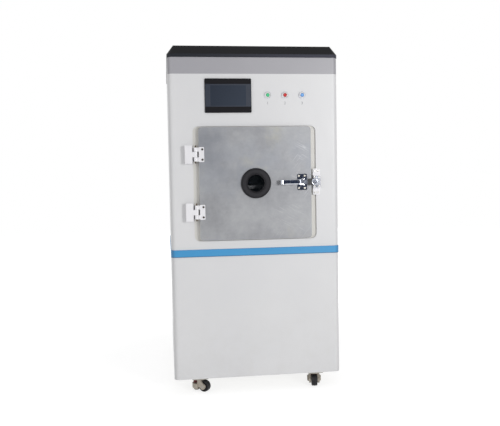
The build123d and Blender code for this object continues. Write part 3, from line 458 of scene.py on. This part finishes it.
def brushed_metal(name, light, dark, stretch, rough=0.32, lines=180.0):
    """Metal whose tone, roughness and height all follow the same drawn-out grain."""
    finish = Finish(name, Metallic=1.0)
    line = finish.grain(lines, 3.0, 0.6, stretch=stretch)
    stain = finish.grain(11.0, 4.0).ramp(0.35, 0.75)
    body = finish.mix(line * 0.6 + stain * 0.4, tone(dark), tone(light))
    finish.give(Base_Color=body, Roughness=line * 0.14 + stain * 0.10 + (rough - 0.1))
    finish.bump(line, 0.00005, 0.5)
    return finish.material


def zinc_plate(name, light, dark):
    """Metal in crystals a few millimetres wide, each a slightly different grey, with dull bloom."""
    finish = Finish(name, Metallic=0.9)
    crystal = finish.cells(170.0)
    bloom = finish.grain(26.0, 4.0).ramp(0.45, 0.75)
    body = finish.mix(crystal, tone(light), tone(dark))
    body = finish.mix(bloom * 0.4, body, tone("c9c6bd"))
    finish.give(Base_Color=body, Roughness=crystal * 0.2 + bloom * 0.2 + 0.26)
    finish.bump(crystal, 0.00005, 0.4)
    return finish.material


def chrome_plate(name, light, dark):
    """Mirror chrome: a cool tone, smudges that dull it, and hairlines along its length."""
    finish = Finish(name, Metallic=1.0)
    smudge = finish.grain(70.0, 4.0, 0.6).ramp(0.5, 0.8)
    hair = finish.grain(420.0, 2.0, stretch=(0.05, 1.0, 1.0)).ramp(0.6, 0.8)
    body = finish.mix(smudge * 0.6, tone(light), tone(dark))
    finish.give(Base_Color=body, Roughness=smudge * 0.14 + hair * 0.06 + 0.06)
    finish.bump(finish.grain(55.0, 2.0) + hair * 0.1, 0.00006, 0.35)
    return finish.material


def door_screw_steel():
    """Zinc on the latch side; browned steel on the hinge side, where oil creeps out of the knuckles."""
    finish = Finish("door_screw_steel", Metallic=0.9)
    crystal = finish.cells(900.0)
    zinc = finish.mix(crystal, tone("c9c6bd"), tone("a8a59c"))
    browned = finish.mix(crystal, tone("5d5750"), tone("3d3833"))
    body = finish.mix(finish.x.ramp(BROWNED_FROM, BROWNED_FULL), zinc, browned)
    finish.give(Base_Color=body, Roughness=crystal * 0.2 + 0.28)
    finish.bump(crystal, 0.00003, 0.4)
    return finish.material


oiled_pin = brushed_metal("oiled_pin", "6b5f52", "40382f", (1.0, 1.0, 0.2), rough=0.42)
screw_steel = door_screw_steel()
stainless = brushed_metal("stainless", "c8c7c4", "9d9c99", (1.0, 0.2, 1.0))
chamber_aluminium = brushed_metal("chamber_aluminium", "c4c5c8", "a2a3a7", (0.08, 0.08, 1.0),
                                  rough=0.36, lines=240.0)
plated_steel = zinc_plate("plated_steel", "b4b3ac", "8f8e88")
chrome = chrome_plate("chrome", "d3d6de", "aeb3c0")
print("metals:", stainless.name, chamber_aluminium.name, plated_steel.name, chrome.name)

# %% [markdown]
# ## The viewport
#
# The clamp ring is turned from aluminium and black anodised. Anodising keeps the lathe's fine
# circles, so the grain must follow circles about the viewport's own axis and not the machine's
# axes. The outer bevel was cut last and looks a little darker, with a hairline of worn metal on
# the rim.

# %% Ring and pane
RING_LOW, RING_HIGH = box("viewport_ring")
RING_MIDDLE = (RING_LOW + RING_HIGH) / 2
RING_RADIUS = (RING_HIGH[0] - RING_LOW[0]) / 2
LATHE_WAVES = 9000.0


def anodised_ring():
    """Near-black with fine circles: a wave over the distance from the ring's axis."""
    finish = Finish("ring_black", Metallic=0.2, Specular_IOR_Level=0.3)
    away = finish.away(RING_MIDDLE)
    circles = (away * LATHE_WAVES).wave() * 0.5 + 0.5
    patch = finish.grain(45.0, 4.0)
    worn = away.ramp(RING_RADIUS - 0.0016, RING_RADIUS - 0.0004) * patch.ramp(0.45, 0.7)
    bevel = away.ramp(RING_RADIUS - 0.0056, RING_RADIUS - 0.0044)
    body = finish.mix(circles * 0.35 + patch * 0.4, tone("1a191d"), tone("27262b"))
    body = finish.mix(bevel * 0.75, body, tone("19191c"))
    body = finish.mix(worn * 0.35, body, tone("77767a"))
    finish.give(Base_Color=body, Roughness=circles * 0.08 + patch * 0.12 + 0.38)
    finish.bump(circles, 0.00002, 0.3)
    return finish.material


def viewport_pane():
    """Thick clear glass over a dark chamber: mostly see-through, faintly fogged in soft patches."""
    finish = Finish("pane", IOR=1.47, Specular_IOR_Level=0.5)
    fog = finish.grain(24.0, 4.0).ramp(0.4, 0.8)
    wipe = finish.grain(60.0, 2.0, stretch=(0.1, 1.0, 1.0)).ramp(0.55, 0.8)
    finish.give(Base_Color=finish.mix(fog, tone("0d0f10"), tone("1d2022")), Alpha=fog * 0.10 + 0.34,
                Roughness=fog * 0.05 + wipe * 0.06 + 0.03)
    finish.bump(wipe, 0.00001, 0.2)
    return finish.material


ring_black = anodised_ring()
pane = viewport_pane()
print("viewport ring radius", round(RING_RADIUS, 4), "around", np.round(RING_MIDDLE, 4))

# %% [markdown]
# ## Moulded parts
#
# The touch panel's case is moulded plastic with a spark-eroded texture, finer than a millimetre.
# Seals are rubber, spacers are white fluoropolymer with a waxy sheen, the caster wheels are nylon
# that picks up dust, and the thumbwheels are dark red nylon with a little more gloss.

# %% Plastics and rubber


def moulded(name, light, dark, rough=0.5, texture=900.0, depth=0.00004, dust=None, **constants):
    """A moulded skin: a fine even texture, a slow change of tone, and dust in soft patches."""
    finish = Finish(name, **constants)
    pit = finish.grain(texture, 2.0)
    cloud = finish.grain(16.0, 4.0)
    body = finish.mix(cloud * 0.7 + pit * 0.3, tone(dark), tone(light))
    if dust:
        body = finish.mix(finish.grain(48.0, 5.0, 0.65).ramp(0.45, 0.85) * 0.5, body, tone(dust))
    finish.give(Base_Color=body, Roughness=pit * 0.10 + cloud * 0.12 + (rough - 0.1))
    finish.bump(pit + cloud * 0.3, depth, 0.5)
    return finish.material


case_black = moulded("case_black", "18171b", "111014", rough=0.5, Specular_IOR_Level=0.12)
seal_grey = moulded("seal_grey", "8f8b84", "7e7a73", rough=0.62, texture=500.0)
insulator = moulded("insulator", "f0eee8", "e2dfd7", rough=0.36, texture=300.0, depth=0.00003)
wheel_black = moulded("wheel_black", "222225", "121214", rough=0.5, texture=420.0, depth=0.00008,
                      dust="4e4c48", Specular_IOR_Level=0.3)
foot_rubber = moulded("foot_rubber", "33312f", "262523", rough=0.7, texture=300.0, depth=0.00009,
                      dust="7a766e")
thumbwheel_red = moulded("thumbwheel_red", "7a1f22", "571114", rough=0.38, texture=500.0, depth=0.00004)
caster_beige = powder_coat("caster_beige", "b8b0a4", "a69e92", peel=0.00012, gloss=0.46,
                           dust="6f6a60", dust_height=0.12)
print("moulded finishes:", case_black.name, wheel_black.name, thumbwheel_red.name)

# %% [markdown]
# ## The push caps and the touch panel's glass
#
# A push cap is a lens of coloured polycarbonate, painted with a glow in the middle and with shade
# at the rim. The panel's glass is printed from behind: a slate border round a display that is
# switched off and a little darker, both under a painted sheen that lightens to the lower right.

# %% Caps and glass
SCREEN_MIDDLE = middle("touch_panel_screen")
DISPLAY_HALF = (0.0765, 0.0435)
DISPLAY_SHIFT = (0.0005, -0.0010)
PRINT_EDGE = 0.0004


def push_cap(name, light, dark):
    """A lens: a painted glow of the light tone at its middle, painted shade of the dark tone at its rim, under a
    clear gloss.
    """
    low, high = box(name)
    radius = (high[0] - low[0]) / 2
    finish = Finish(name, Coat_Weight=0.6, Coat_Roughness=0.08)
    swirl = finish.grain(420.0, 3.0)
    # Painted glow in the middle and painted shade at the rim.
    glow = finish.away((low + high) / 2).ramp(radius, radius * 0.35)
    finish.give(Base_Color=finish.mix(glow * 0.9 + swirl * 0.1, tone(dark), tone(light)),
                Roughness=swirl * 0.10 + 0.18)
    finish.bump(finish.grain(800.0, 2.0), 0.00002, 0.3)
    return finish.material


def printed_glass():
    """Slate border and darker display with a crisp edge between, a painted sheen towards the lower right, and
    greasy touch marks.
    """
    finish = Finish("screen", Coat_Weight=0.25, Coat_Roughness=0.1)
    across = abs(finish.x - (SCREEN_MIDDLE[0] + DISPLAY_SHIFT[0]))
    above = abs(finish.z - (SCREEN_MIDDLE[2] + DISPLAY_SHIFT[1]))
    shown = across.ramp(DISPLAY_HALF[0] + PRINT_EDGE, DISPLAY_HALF[0])
    shown = shown * above.ramp(DISPLAY_HALF[1] + PRINT_EDGE, DISPLAY_HALF[1])
    # The slope is a painted sheen: border and display are drawn lighter towards the lower right.
    slope = (finish.x - SCREEN_MIDDLE[0]) * 3.0 + (finish.z - SCREEN_MIDDLE[2]) * -2.0 + 0.5
    slope = slope.ramp(0.0, 1.0)
    display = finish.mix(slope, tone("303641"), tone("3c434f"))
    border = finish.mix(slope, tone("3d424c"), tone("474b54"))
    touch = finish.grain(85.0, 3.0).ramp(0.62, 0.85) * shown
    finish.give(Base_Color=finish.mix(shown, border, display), Roughness=touch * 0.10 + 0.16)
    finish.bump(finish.grain(30.0, 1.0), 0.00001, 0.1)
    return finish.material


screen = printed_glass()
button_green = push_cap("button_cap_green", "58d69a", "23a56a")
button_red = push_cap("button_cap_red", "d8393a", "a51a1d")
button_blue = push_cap("button_cap_blue", "7db6f2", "3f84d2")
print("display", DISPLAY_HALF[0] * 2, "by", DISPLAY_HALF[1] * 2, "m")

# %% [markdown]
# ## The latch's strap
#
# The draw strap starts as a chromed neck between the lever's cheeks, runs through a black sleeve,
# and ends in a chromed eye over the keeper. One solid carries all three, so the finish changes
# along its length: metal, then blackened, then metal again, with crisp borders.

# %% Strap
SLEEVE_START, SLEEVE_END, SLEEVE_EDGE = 0.2245, 0.2475, 0.0004
RIB_WAVES = 3400.0


def sleeved_strap():
    """Chrome outside the sleeve, black inside it; the same mask sets colour, metal and gloss."""
    finish = Finish("strap_dark")
    sleeve = finish.x.ramp(SLEEVE_START, SLEEVE_START + SLEEVE_EDGE)
    sleeve = sleeve * finish.x.ramp(SLEEVE_END + SLEEVE_EDGE, SLEEVE_END)
    ribs = (finish.x * RIB_WAVES).wave() * 0.5 + 0.5
    smudge = finish.grain(90.0, 4.0)
    black = finish.mix(ribs * smudge, tone("151517"), tone("2b2b2e"))
    metal = finish.mix(smudge, tone("8f95a4"), tone("c2c6d0"))
    finish.give(Base_Color=finish.mix(sleeve, metal, black), Metallic=1.0 - sleeve,
                Roughness=sleeve * 0.32 + smudge * 0.12 + 0.08)
    finish.bump(ribs * sleeve + smudge * 0.2, 0.00012, 0.5)
    return finish.material


strap_dark = sleeved_strap()
print("sleeve from", SLEEVE_START, "to", SLEEVE_END)

# %% [markdown]
# ## Handing out the finishes
#
# The record names a material slot for every node. Each slot gets the finish of the same name, so
# no node is left with the plain colour that it came with. Three nodes differ from their slot: the
# hinge pins and the door's screws have the oiled finishes, and the button bezels are chromed.

# %% Assign
FINISHES = {
    "panel_white": panel_white, "header_grey": header_grey, "cap_dark": cap_dark,
    "stripe_blue": stripe_blue, "frame_grey": frame_grey, "plated_steel": plated_steel,
    "stainless": stainless, "chamber_aluminium": chamber_aluminium, "flange_cream": flange_cream,
    "door_aluminium": door_aluminium,
    "seal_grey": seal_grey, "insulator": insulator, "ring_black": ring_black, "pane": pane,
    "hinge_white": hinge_white, "chrome": chrome, "strap_dark": strap_dark, "case_black": case_black,
    "screen": screen, "button_green": button_green, "button_red": button_red, "button_blue": button_blue,
    "caster_beige": caster_beige, "wheel_black": wheel_black, "foot_rubber": foot_rubber,
    "thumbwheel_red": thumbwheel_red, "pump_grey": pump_grey,
}
NODE_FINISHES = {"hinge_pins": oiled_pin, "button_housings": chrome, "door_screws": screw_steel}


def dress_nodes():
    """Give each CAD node the finish of its slot in the record."""
    for part in frame["record"]["subparts"]:
        node = frame["nodes"][part["node"]]
        finish = NODE_FINISHES.get(part["node"], FINISHES[part["material_slot"]])
        node.data.materials.clear()
        node.data.materials.append(finish)


dress_nodes()

# %% [markdown]
# ## Surfaces from formulas
#
# The small curved pieces could be modelled by hand with loops and bevels, but each of them is one
# formula over a grid: a profile turned about an axis, or a section that changes along a path.
# `surface` takes that grid of points as an array and writes the whole mesh at once.

# %% From a grid of points to a piece


def surface(name, points, finish, body, smooth, around=False):
    """Points (rows, columns, 3) become quads; `around` joins the last column to the first."""
    rows, columns = points.shape[:2]
    index = np.arange(rows * columns).reshape(rows, columns)
    if around:
        index = np.hstack([index, index[:, :1]])
    corners = [index[:-1, :-1], index[:-1, 1:], index[1:, 1:], index[1:, :-1]]
    quads = np.stack(corners, axis=-1).reshape(-1, 4)
    mesh = bpy.data.meshes.new(name)
    mesh.from_pydata(points.reshape(-1, 3).tolist(), [], quads.tolist())
    return place_piece(name, mesh, finish, body, smooth)


def place_piece(name, mesh, finish, body, smooth):
    """Put a mesh into the scene with its finish, smooth below an angle, riding on a body."""
    mesh.validate()
    piece = bpy.data.objects.new(name, mesh)
    bpy.context.scene.collection.objects.link(piece)
    mesh.materials.append(finish)
    tidy = bmesh.new()
    tidy.from_mesh(mesh)
    bmesh.ops.remove_doubles(tidy, verts=tidy.verts, dist=1e-6)
    bmesh.ops.recalc_face_normals(tidy, faces=tidy.faces)
    for face in tidy.faces:
        face.smooth = True
    for edge in tidy.edges:
        edge.smooth = len(edge.link_faces) == 2 and edge.calc_face_angle(0.0) < radians(smooth)
    tidy.to_mesh(mesh)
    tidy.free()
    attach(piece, body)
    return piece


def turned(profile, centre, axis, steps=96):
    """Points (radius, distance along the axis) turned about an axis through a centre."""
    radius, along = np.asarray(profile, float).T
    axis = np.asarray(axis, float) / np.linalg.norm(axis)
    side = np.cross(axis, (0.0, 0.0, 1.0))
    side = side / np.linalg.norm(side)
    up = np.cross(side, axis)
    angle = np.linspace(0.0, 2 * pi, steps, endpoint=False)
    rim = np.cos(angle)[:, None] * side + np.sin(angle)[:, None] * up
    return np.asarray(centre) + radius[:, None, None] * rim + along[:, None, None] * axis


def smoothstep(value, low, high):
    """0 below low, 1 above high, and 3t^2 - 2t^3 between."""
    t = np.clip((np.asarray(value, float) - low) / (high - low), 0.0, 1.0)
    return t * t * (3.0 - 2.0 * t)


SQUARE = [(1, 0), (1, 1), (2, 1), (2, 0)]
print("a square turned about y gives points", turned(SQUARE, (0, 0, 0), (0, 1, 0)).shape)

# %% [markdown]
# ## The viewport ring
#
# A clamp ring is faced, bevelled and finally grooved on the lathe. Two shallow grooves by the
# inner chamfer and two by the outer bevel catch the light as hairlines. The profile is a list of
# radius and depth, and every groove is a small dip in it.

# %% Turned ring
GROOVES = (0.0434, 0.0452, 0.0586, 0.0600)
GROOVE_DEPTH, GROOVE_WIDTH = 0.0005, 0.00035
RING_BORE = 0.037
CHAMFER, CHAMFER_SINK = 0.0042, 0.0003


def viewport_ring():
    """Depth over radius: chamfer, flat face with dips exp(-(r - groove)^2 / width^2), bevel, side."""
    inner, outer = RING_BORE, RING_RADIUS
    depth = RING_HIGH[1] - RING_LOW[1]
    steps = CHAMFER * (1 - np.sin(np.linspace(0.0, pi / 2, 7)[:-1]))
    chamfer = [(inner, 0.0), (inner, depth * 0.5)]
    chamfer += [(inner + 0.0052 - step, depth - step - CHAMFER_SINK) for step in steps]
    face_radius = np.linspace(inner + 0.0052, outer - 0.0050, 120)
    dips = sum(GROOVE_DEPTH * np.exp(-((face_radius - groove) / GROOVE_WIDTH) ** 2) for groove in GROOVES)
    face = list(zip(face_radius, depth - dips))
    bevel = [(outer - 0.0042, depth - 0.0003), (outer - 0.0006, depth - 0.0043),
             (outer, depth - 0.0054), (outer, 0.0004), (outer - 0.0004, 0.0), (inner, 0.0)]
    centre = (RING_MIDDLE[0], RING_HIGH[1], RING_MIDDLE[2])
    points = turned(chamfer + face + bevel, centre, (0, -1, 0), 160)
    piece = surface("turned_viewport_ring", points, ring_black, "door",
                    around=True, smooth=50.0)
    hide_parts("viewport_ring")
    return piece


ring_piece = viewport_ring()
print("viewport ring faces:", len(ring_piece.data.polygons))

# %% [markdown]
# ## The pressed lever
#
# The latch's lever starts as a flat blank. A press folds it into a channel with round shoulders,
# curls its free end outwards for a fingertip, and leaves the far end open like a fork, so that
# the draw strap can swing through it. Its section is a superellipse that changes along the lever.

# %% Lever shell
LATCH_Z = float(middle("latch_base")[2])
PIVOT_Y, WEB_RISE = -0.4203, 0.0078
LEVER_TIP, LEVER_WEB_END, LEVER_HALF = 0.1042, 0.1830, 0.0103
LEVER_WALL = 0.0012
ACROSS_POWER, SINK_POWER = 0.09, 0.13
EAR_RADIUS = 0.006


def lever_shell():
    """A folded section drawn along x, from the curled tip to the fork.

    Over the section's angle, z is half * sin^0.09 and y is web + deep * (1 - cos^0.13). The half
    width and the depth change along x. The web ends early, and each cheek ends in a round ear
    about the pivot.
    """
    web = PIVOT_Y - WEB_RISE
    even = np.linspace(-1.0, 1.0, 81)
    turn = (even ** 3 * 0.5 + even * 0.5)[None, :] * pi / 2
    along = np.linspace(0.0, 1.0, 91)[:, None] ** 1.15
    across = np.sign(np.sin(turn)) * np.abs(np.sin(turn)) ** ACROSS_POWER
    sink = 1.0 - np.abs(np.cos(turn)) ** SINK_POWER
    reach = sink * 0.014
    ear = np.sqrt(np.clip(EAR_RADIUS ** 2 - (reach - WEB_RISE) ** 2, 0.0, None))
    end = LEVER_WEB_END + 0.024 * smoothstep(reach, 0.0004, 0.0034) + ear * (reach > 0.0018)
    x = LEVER_TIP + along * (end - LEVER_TIP)
    deep = 0.0022 + 0.0078 * smoothstep(x, 0.106, 0.128) + 0.0040 * smoothstep(x, 0.180, 0.200)
    curl = 0.0080 * (1.0 - smoothstep(x, 0.1030, 0.1165)) ** 1.2
    crown = 0.0004 * np.abs(across) ** 2 * smoothstep(x, 0.115, 0.13)
    half = LEVER_HALF - 0.0014 * (1.0 - smoothstep(x, 0.104, 0.108))
    y = web - curl + sink * deep + crown
    z = LATCH_Z + half * across
    points = np.stack([x, y, z], axis=-1)
    piece = surface("pressed_lever", points, chrome, "lever", smooth=60.0)
    wall = piece.modifiers.new("wall", "SOLIDIFY")
    wall.thickness = LEVER_WALL
    wall.offset = -1.0
    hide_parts("latch_lever")
    return piece


lever_piece = lever_shell()
print("lever shell faces:", len(lever_piece.data.polygons), "at height", round(LATCH_Z, 4))

# %% [markdown]
# ## The strap's rolled eye
#
# The strap ends in an eye whose rim is rolled over like a washer, which gives it the bright ring
# round the keeper's stud. A torus would be too plain: the roll is flatter on the inside.

# %% Rolled eye
STUD_X, EYE_FACE = 0.258, -0.4183
EYE_RADIUS, ROLL_RADIUS = 0.0120, 0.0017


def rolled_eye():
    """A ring whose section is a circle flattened inwards: radius 0.0017 * (1 + 0.3 cos)."""
    around = np.linspace(0.0, 2 * pi, 25)
    thick = ROLL_RADIUS * (1.0 + 0.3 * np.cos(around))
    profile = np.column_stack([EYE_RADIUS + thick * np.cos(around), thick * np.sin(around) * 0.8])
    points = turned(profile, (STUD_X, EYE_FACE, LATCH_Z), (0, -1, 0), 72)
    return surface("rolled_strap_eye", points, chrome, "strap", around=True, smooth=180.0)


eye_piece = rolled_eye()
print("rolled eye faces:", len(eye_piece.data.polygons))

# %% [markdown]
# ## Pads of painted shade behind the hinges
#
# The dark lines between block, knuckles and leaf are shade in the gaps. A black rubber pad under
# each hinge is laid there as painted shade, so those gaps read dark. It is
# a pillow: an oblong with round corners, flat on top, and rounded down to the flange at its rim.

# %% Hinge pads of painted shade
HINGE_HEIGHTS = (BODY_FLOOR + 0.9775, BODY_FLOOR + 0.7305)
PAD_FOOT = float(box("chamber_flange")[0][1]) + 0.0001
PAD_X, PAD_HALF = -0.2605, (0.0130, 0.0290)
PAD_THICK, PAD_ROUND = 0.0013, 0.0008
PAD_POINTS = 96


def hinge_pad(number, height):
    """Outline (cos^0.25, sin^0.25) times the half sizes, drawn in as the pad rises by a quarter circle."""
    around = np.linspace(0.0, 2 * pi, PAD_POINTS, endpoint=False)[None, :]
    rise = np.linspace(0.0, pi / 2, 7)[:, None]
    wide = np.sign(np.cos(around)) * np.abs(np.cos(around)) ** 0.25
    high = np.sign(np.sin(around)) * np.abs(np.sin(around)) ** 0.25
    inset = PAD_ROUND * (1.0 - np.cos(rise))
    x = PAD_X + (PAD_HALF[0] - inset) * wide
    y = PAD_FOOT - PAD_THICK * np.sin(rise)
    z = height + (PAD_HALF[1] - inset) * high
    rim = np.stack(np.broadcast_arrays(x, y, z), axis=-1)
    top_row = np.broadcast_to((PAD_X, float(y.min()), height), (1, PAD_POINTS, 3))
    foot_row = np.broadcast_to((PAD_X, PAD_FOOT, height), (1, PAD_POINTS, 3))
    points = np.concatenate([foot_row, rim, top_row])
    # A black pad laid where only shade falls: a sheet of painted shade in the hinge gaps.
    surface("hinge_pad_" + str(number), points, foot_rubber, "cabinet",
            around=True, smooth=50.0)


for number, height in enumerate(HINGE_HEIGHTS, 1):
    hinge_pad(number, height)
print("hinge pads at", np.round(HINGE_HEIGHTS, 4))

# %% [markdown]
# ## Caster wheels
#
# The wheels are moulded nylon with a raised middle band, two grooves beside it, and a dished
# web on each side so that the part cools evenly in its mould. The axle bolt is a separate piece of
# steel, so it is a separate turned piece that rides on the same wheel.

# %% Wheels and axle bolts
CASTERS = (1, 2, 3, 4)


def wheel_place(number):
    """Centre, axis and axle half length of one wheel, from its joint and its node's reach."""
    joint = next(joint for joint in frame["joints"] if joint["name"] == "roll_" + str(number))
    centre, axis = np.array(joint["pos_m"]), np.array(joint["axis"])
    node = frame["nodes"]["caster_wheel_" + str(number)]
    corners = np.empty(len(node.data.vertices) * 3)
    node.data.vertices.foreach_get("co", corners)
    return centre, axis, float(np.abs((corners.reshape(-1, 3) - centre) @ axis).max())


def mirrored(half):
    """A half profile of (radius, distance from the middle), followed by its mirror image."""
    return half + [(radius, -along) for radius, along in half[::-1]]


def caster_wheel(number):
    """The wheel: hub, dished web, round shoulder, groove, raised band. The bolt: two recessed ends."""
    centre, axis, reach = wheel_place(number)
    shoulder = np.linspace(0.0, pi / 2, 9)
    half = [(0.0042, 0.0128), (0.0088, 0.0128), (0.0096, 0.0120), (0.0102, 0.0098),
            (0.0168, 0.0092), (0.0180, 0.0104), (0.0186, 0.0124), (0.0192, 0.0129)]
    half += list(zip(0.0206 + 0.0040 * np.sin(shoulder), 0.0089 + 0.0040 * np.cos(shoulder)))
    half += [(0.0246, 0.0062), (0.0239, 0.0058), (0.0239, 0.0050),
             (0.0248, 0.0046), (0.0250, 0.0030), (0.0250, 0.0)]
    tyre = surface("moulded_wheel_" + str(number), turned(mirrored(half) + [half[0]], centre, axis, 72),
                   wheel_black, "wheel_" + str(number), around=True, smooth=35.0)
    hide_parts("caster_wheel_" + str(number))
    ends = [(0.0, reach - 0.0010), (0.0016, reach - 0.0010), (0.0019, reach - 0.0001),
            (0.0034, reach - 0.0001), (0.0040, reach - 0.0007), (0.0040, 0.0)]
    surface("axle_bolt_" + str(number), turned(mirrored(ends), centre, axis, 48), stainless,
            "wheel_" + str(number), around=True, smooth=35.0)


for number in CASTERS:
    caster_wheel(number)
print("wheels and axle bolts:", 2 * len(CASTERS))

# %% [markdown]
# ## Light rings and numbers
#
# Each push button has a milky ring between its coloured cap and the metal bezel, which spreads
# the light of a small lamp. Under the buttons stands a printed number. Print has no height to
# speak of, but a tenth of a millimetre keeps it clear of the paint.

# %% Light rings and printed numbers
BUTTONS = ("green", "red", "blue")
MILKY_INNER, MILKY_OUTER, MILKY_BACK = 0.0084, 0.0120, -0.0006
NUMBER_Z, NUMBER_HEIGHT = BODY_FLOOR + 1.1915, 0.0120
CAPITAL_SHARE = 0.72
PRINT_HALF, PRINT_LIFT = 0.00005, 0.00006
milky_ring = moulded("milky_ring", "f2f1ee", "e4e3df", rough=0.28, texture=500.0, depth=0.00002)
ink_grey = moulded("ink_grey", "9a9a9e", "828287", rough=0.55, texture=600.0, depth=0.00001)


def light_ring(colour):
    """A low dome between two radii: height 0.0007 * sin of the way across."""
    centre = middle("button_cap_" + colour)
    face = box("button_housings")[0][1]
    way = np.linspace(0.0, pi, 13)
    dome = np.column_stack([MILKY_INNER + (MILKY_OUTER - MILKY_INNER) * way / pi,
                            0.0001 + 0.0007 * np.sin(way)])
    back = [(MILKY_OUTER, MILKY_BACK), (MILKY_INNER, MILKY_BACK)]
    profile = np.vstack([back[1:], dome, back])
    points = turned(profile, (centre[0], face, centre[2]), (0, -1, 0), 64)
    surface("light_ring_" + colour, points, milky_ring, "cabinet", around=True, smooth=50.0)


def printed_number(text, x):
    """A flat text, made a mesh, stood upright on the front panel and centred on x."""
    letters = bpy.data.curves.new("number_" + text, "FONT")
    letters.body = text
    letters.size = NUMBER_HEIGHT / CAPITAL_SHARE
    letters.align_x = "CENTER"
    letters.extrude = PRINT_HALF
    carrier = bpy.data.objects.new("number_" + text, letters)
    bpy.context.scene.collection.objects.link(carrier)
    mesh = bpy.data.meshes.new_from_object(carrier.evaluated_get(bpy.context.evaluated_depsgraph_get()))
    bpy.data.objects.remove(carrier)
    bpy.data.curves.remove(letters)
    upright = Matrix.Rotation(pi / 2, 4, "X")
    mesh.transform(Matrix.Translation((x, PANEL_FACE - PRINT_LIFT, NUMBER_Z)) @ upright)
    return place_piece("printed_number_" + text, mesh, ink_grey, "cabinet", 30.0)


for place, colour in enumerate(BUTTONS, 1):
    light_ring(colour)
    printed_number(str(place), middle("button_cap_" + colour)[0])
print("printed numbers under", BUTTONS)

# %% [markdown]
# ## Light and backdrop
#
# The machine was photographed in front of white, lit by large soft lamps, the stronger one from
# the right: the hinge blocks throw soft shadows to their left. The world lights evenly at half
# strength. It turns full white, and the floor glows, only on the rays of the camera, a reflection
# or the glass, so a white backdrop doesn't flood the machine. A dark card behind the camera, which
# only reflections see, gives the chrome something to mirror.

# %% World, floor and lamps
WORLD_LIGHT = 0.50
FLOOR_RADIUS, FLOOR_CORNERS = 9.0, 96
FLOOR_GLOW, GLOW_NEAR = 1.3, 0.6


def seen_directly(tree):
    """1 on a camera, glossy or transmitted ray, and 0 on the rays that carry light about."""
    path = tree.nodes.new("ShaderNodeLightPath")
    camera_ray = Shade(tree, path.outputs["Is Camera Ray"])
    glossy_ray = Shade(tree, path.outputs["Is Glossy Ray"])
    through_ray = Shade(tree, path.outputs["Is Transmission Ray"])
    return camera_ray.larger(glossy_ray).larger(through_ray)


def make_world():
    """A world at strength 1 where it is seen, and at WORLD_LIGHT where it lights."""
    world = bpy.data.worlds.new("studio")
    world.use_nodes = True
    tree = world.node_tree
    strength = seen_directly(tree) * (1.0 - WORLD_LIGHT) + WORLD_LIGHT
    background = tree.nodes["Background"]
    background.inputs["Color"].default_value = (1.0, 1.0, 1.0, 1.0)
    connect(tree, strength, background.inputs["Strength"])
    bpy.context.scene.world = world


def make_floor():
    """A wide pale disc about the machine, which glows less close by, so the soft shadow stays."""
    turns = np.linspace(0.0, 2 * pi, FLOOR_CORNERS, endpoint=False)
    rim = np.column_stack([np.cos(turns), np.sin(turns), np.zeros(FLOOR_CORNERS)]) * FLOOR_RADIUS
    mesh = bpy.data.meshes.new("studio_floor")
    mesh.from_pydata(rim.tolist(), [], [list(range(FLOOR_CORNERS))])
    floor = bpy.data.objects.new("studio_floor", mesh)
    bpy.context.scene.collection.objects.link(floor)
    finish = Finish("floor_pale", Roughness=0.9)
    cloud = finish.grain(1.2, 2.0)
    finish.give(Base_Color=finish.mix(cloud, tone("fafafa"), tone("ffffff")))
    glow = finish.node("ShaderNodeEmission", inputs={
        "Color": (1.0, 1.0, 1.0, 1.0), "Strength": FLOOR_GLOW})
    away = (finish.x ** 2.0 + finish.y ** 2.0) ** 0.5
    share = seen_directly(finish.tree) * (away.ramp(0.7, 1.9) * (1.0 - GLOW_NEAR) + GLOW_NEAR)
    both = finish.node("ShaderNodeMixShader", inputs={
        0: share, 1: Shade(finish.tree, finish.shader.outputs[0]), 2: glow})
    connect(finish.tree, both, finish.tree.nodes["Material Output"].inputs["Surface"])
    mesh.materials.append(finish.material)


def make_card(place, half_width, half_height, colour):
    """An upright card that only reflections see, facing the machine."""
    x, y, z = place
    corners = [(x - half_width, y, z - half_height), (x + half_width, y, z - half_height),
               (x + half_width, y, z + half_height), (x - half_width, y, z + half_height)]
    mesh = bpy.data.meshes.new("studio_card")
    mesh.from_pydata(corners, [], [(0, 3, 2, 1)])
    card = bpy.data.objects.new("studio_card", mesh)
    bpy.context.scene.collection.objects.link(card)
    card.visible_camera = card.visible_diffuse = card.visible_shadow = card.visible_transmission = False
    finish = Finish("card_dark", Roughness=0.8)
    finish.give(Base_Color=finish.mix(finish.grain(1.0), tone(colour), tone("1c2536")))
    mesh.materials.append(finish.material)


def make_lamp(name, place, target, size, power):
    """One soft rectangular lamp that looks at a point."""
    data = bpy.data.lights.new(name, "AREA")
    data.shape = "RECTANGLE"
    data.size, data.size_y = size
    data.energy = power
    lamp = bpy.data.objects.new(name, data)
    bpy.context.scene.collection.objects.link(lamp)
    lamp.location = place
    lamp.rotation_euler = (Vector(target) - Vector(place)).to_track_quat("-Z", "Y").to_euler()


make_world()
make_floor()
make_card((-0.1, -5.2, 1.5), 1.5, 1.0, "2a3a5a")
make_lamp("key_lamp", (1.9, -4.0, 1.35), (0.0, -0.3, 0.8), (0.9, 1.1), 56.0)
make_lamp("fill_lamp", (-2.6, -2.4, 1.6), (0.0, -0.3, 0.8), (1.6, 1.6), 11.0)
bpy.context.scene.view_settings.view_transform = "Standard"
print("world light", WORLD_LIGHT, "floor radius", FLOOR_RADIUS)
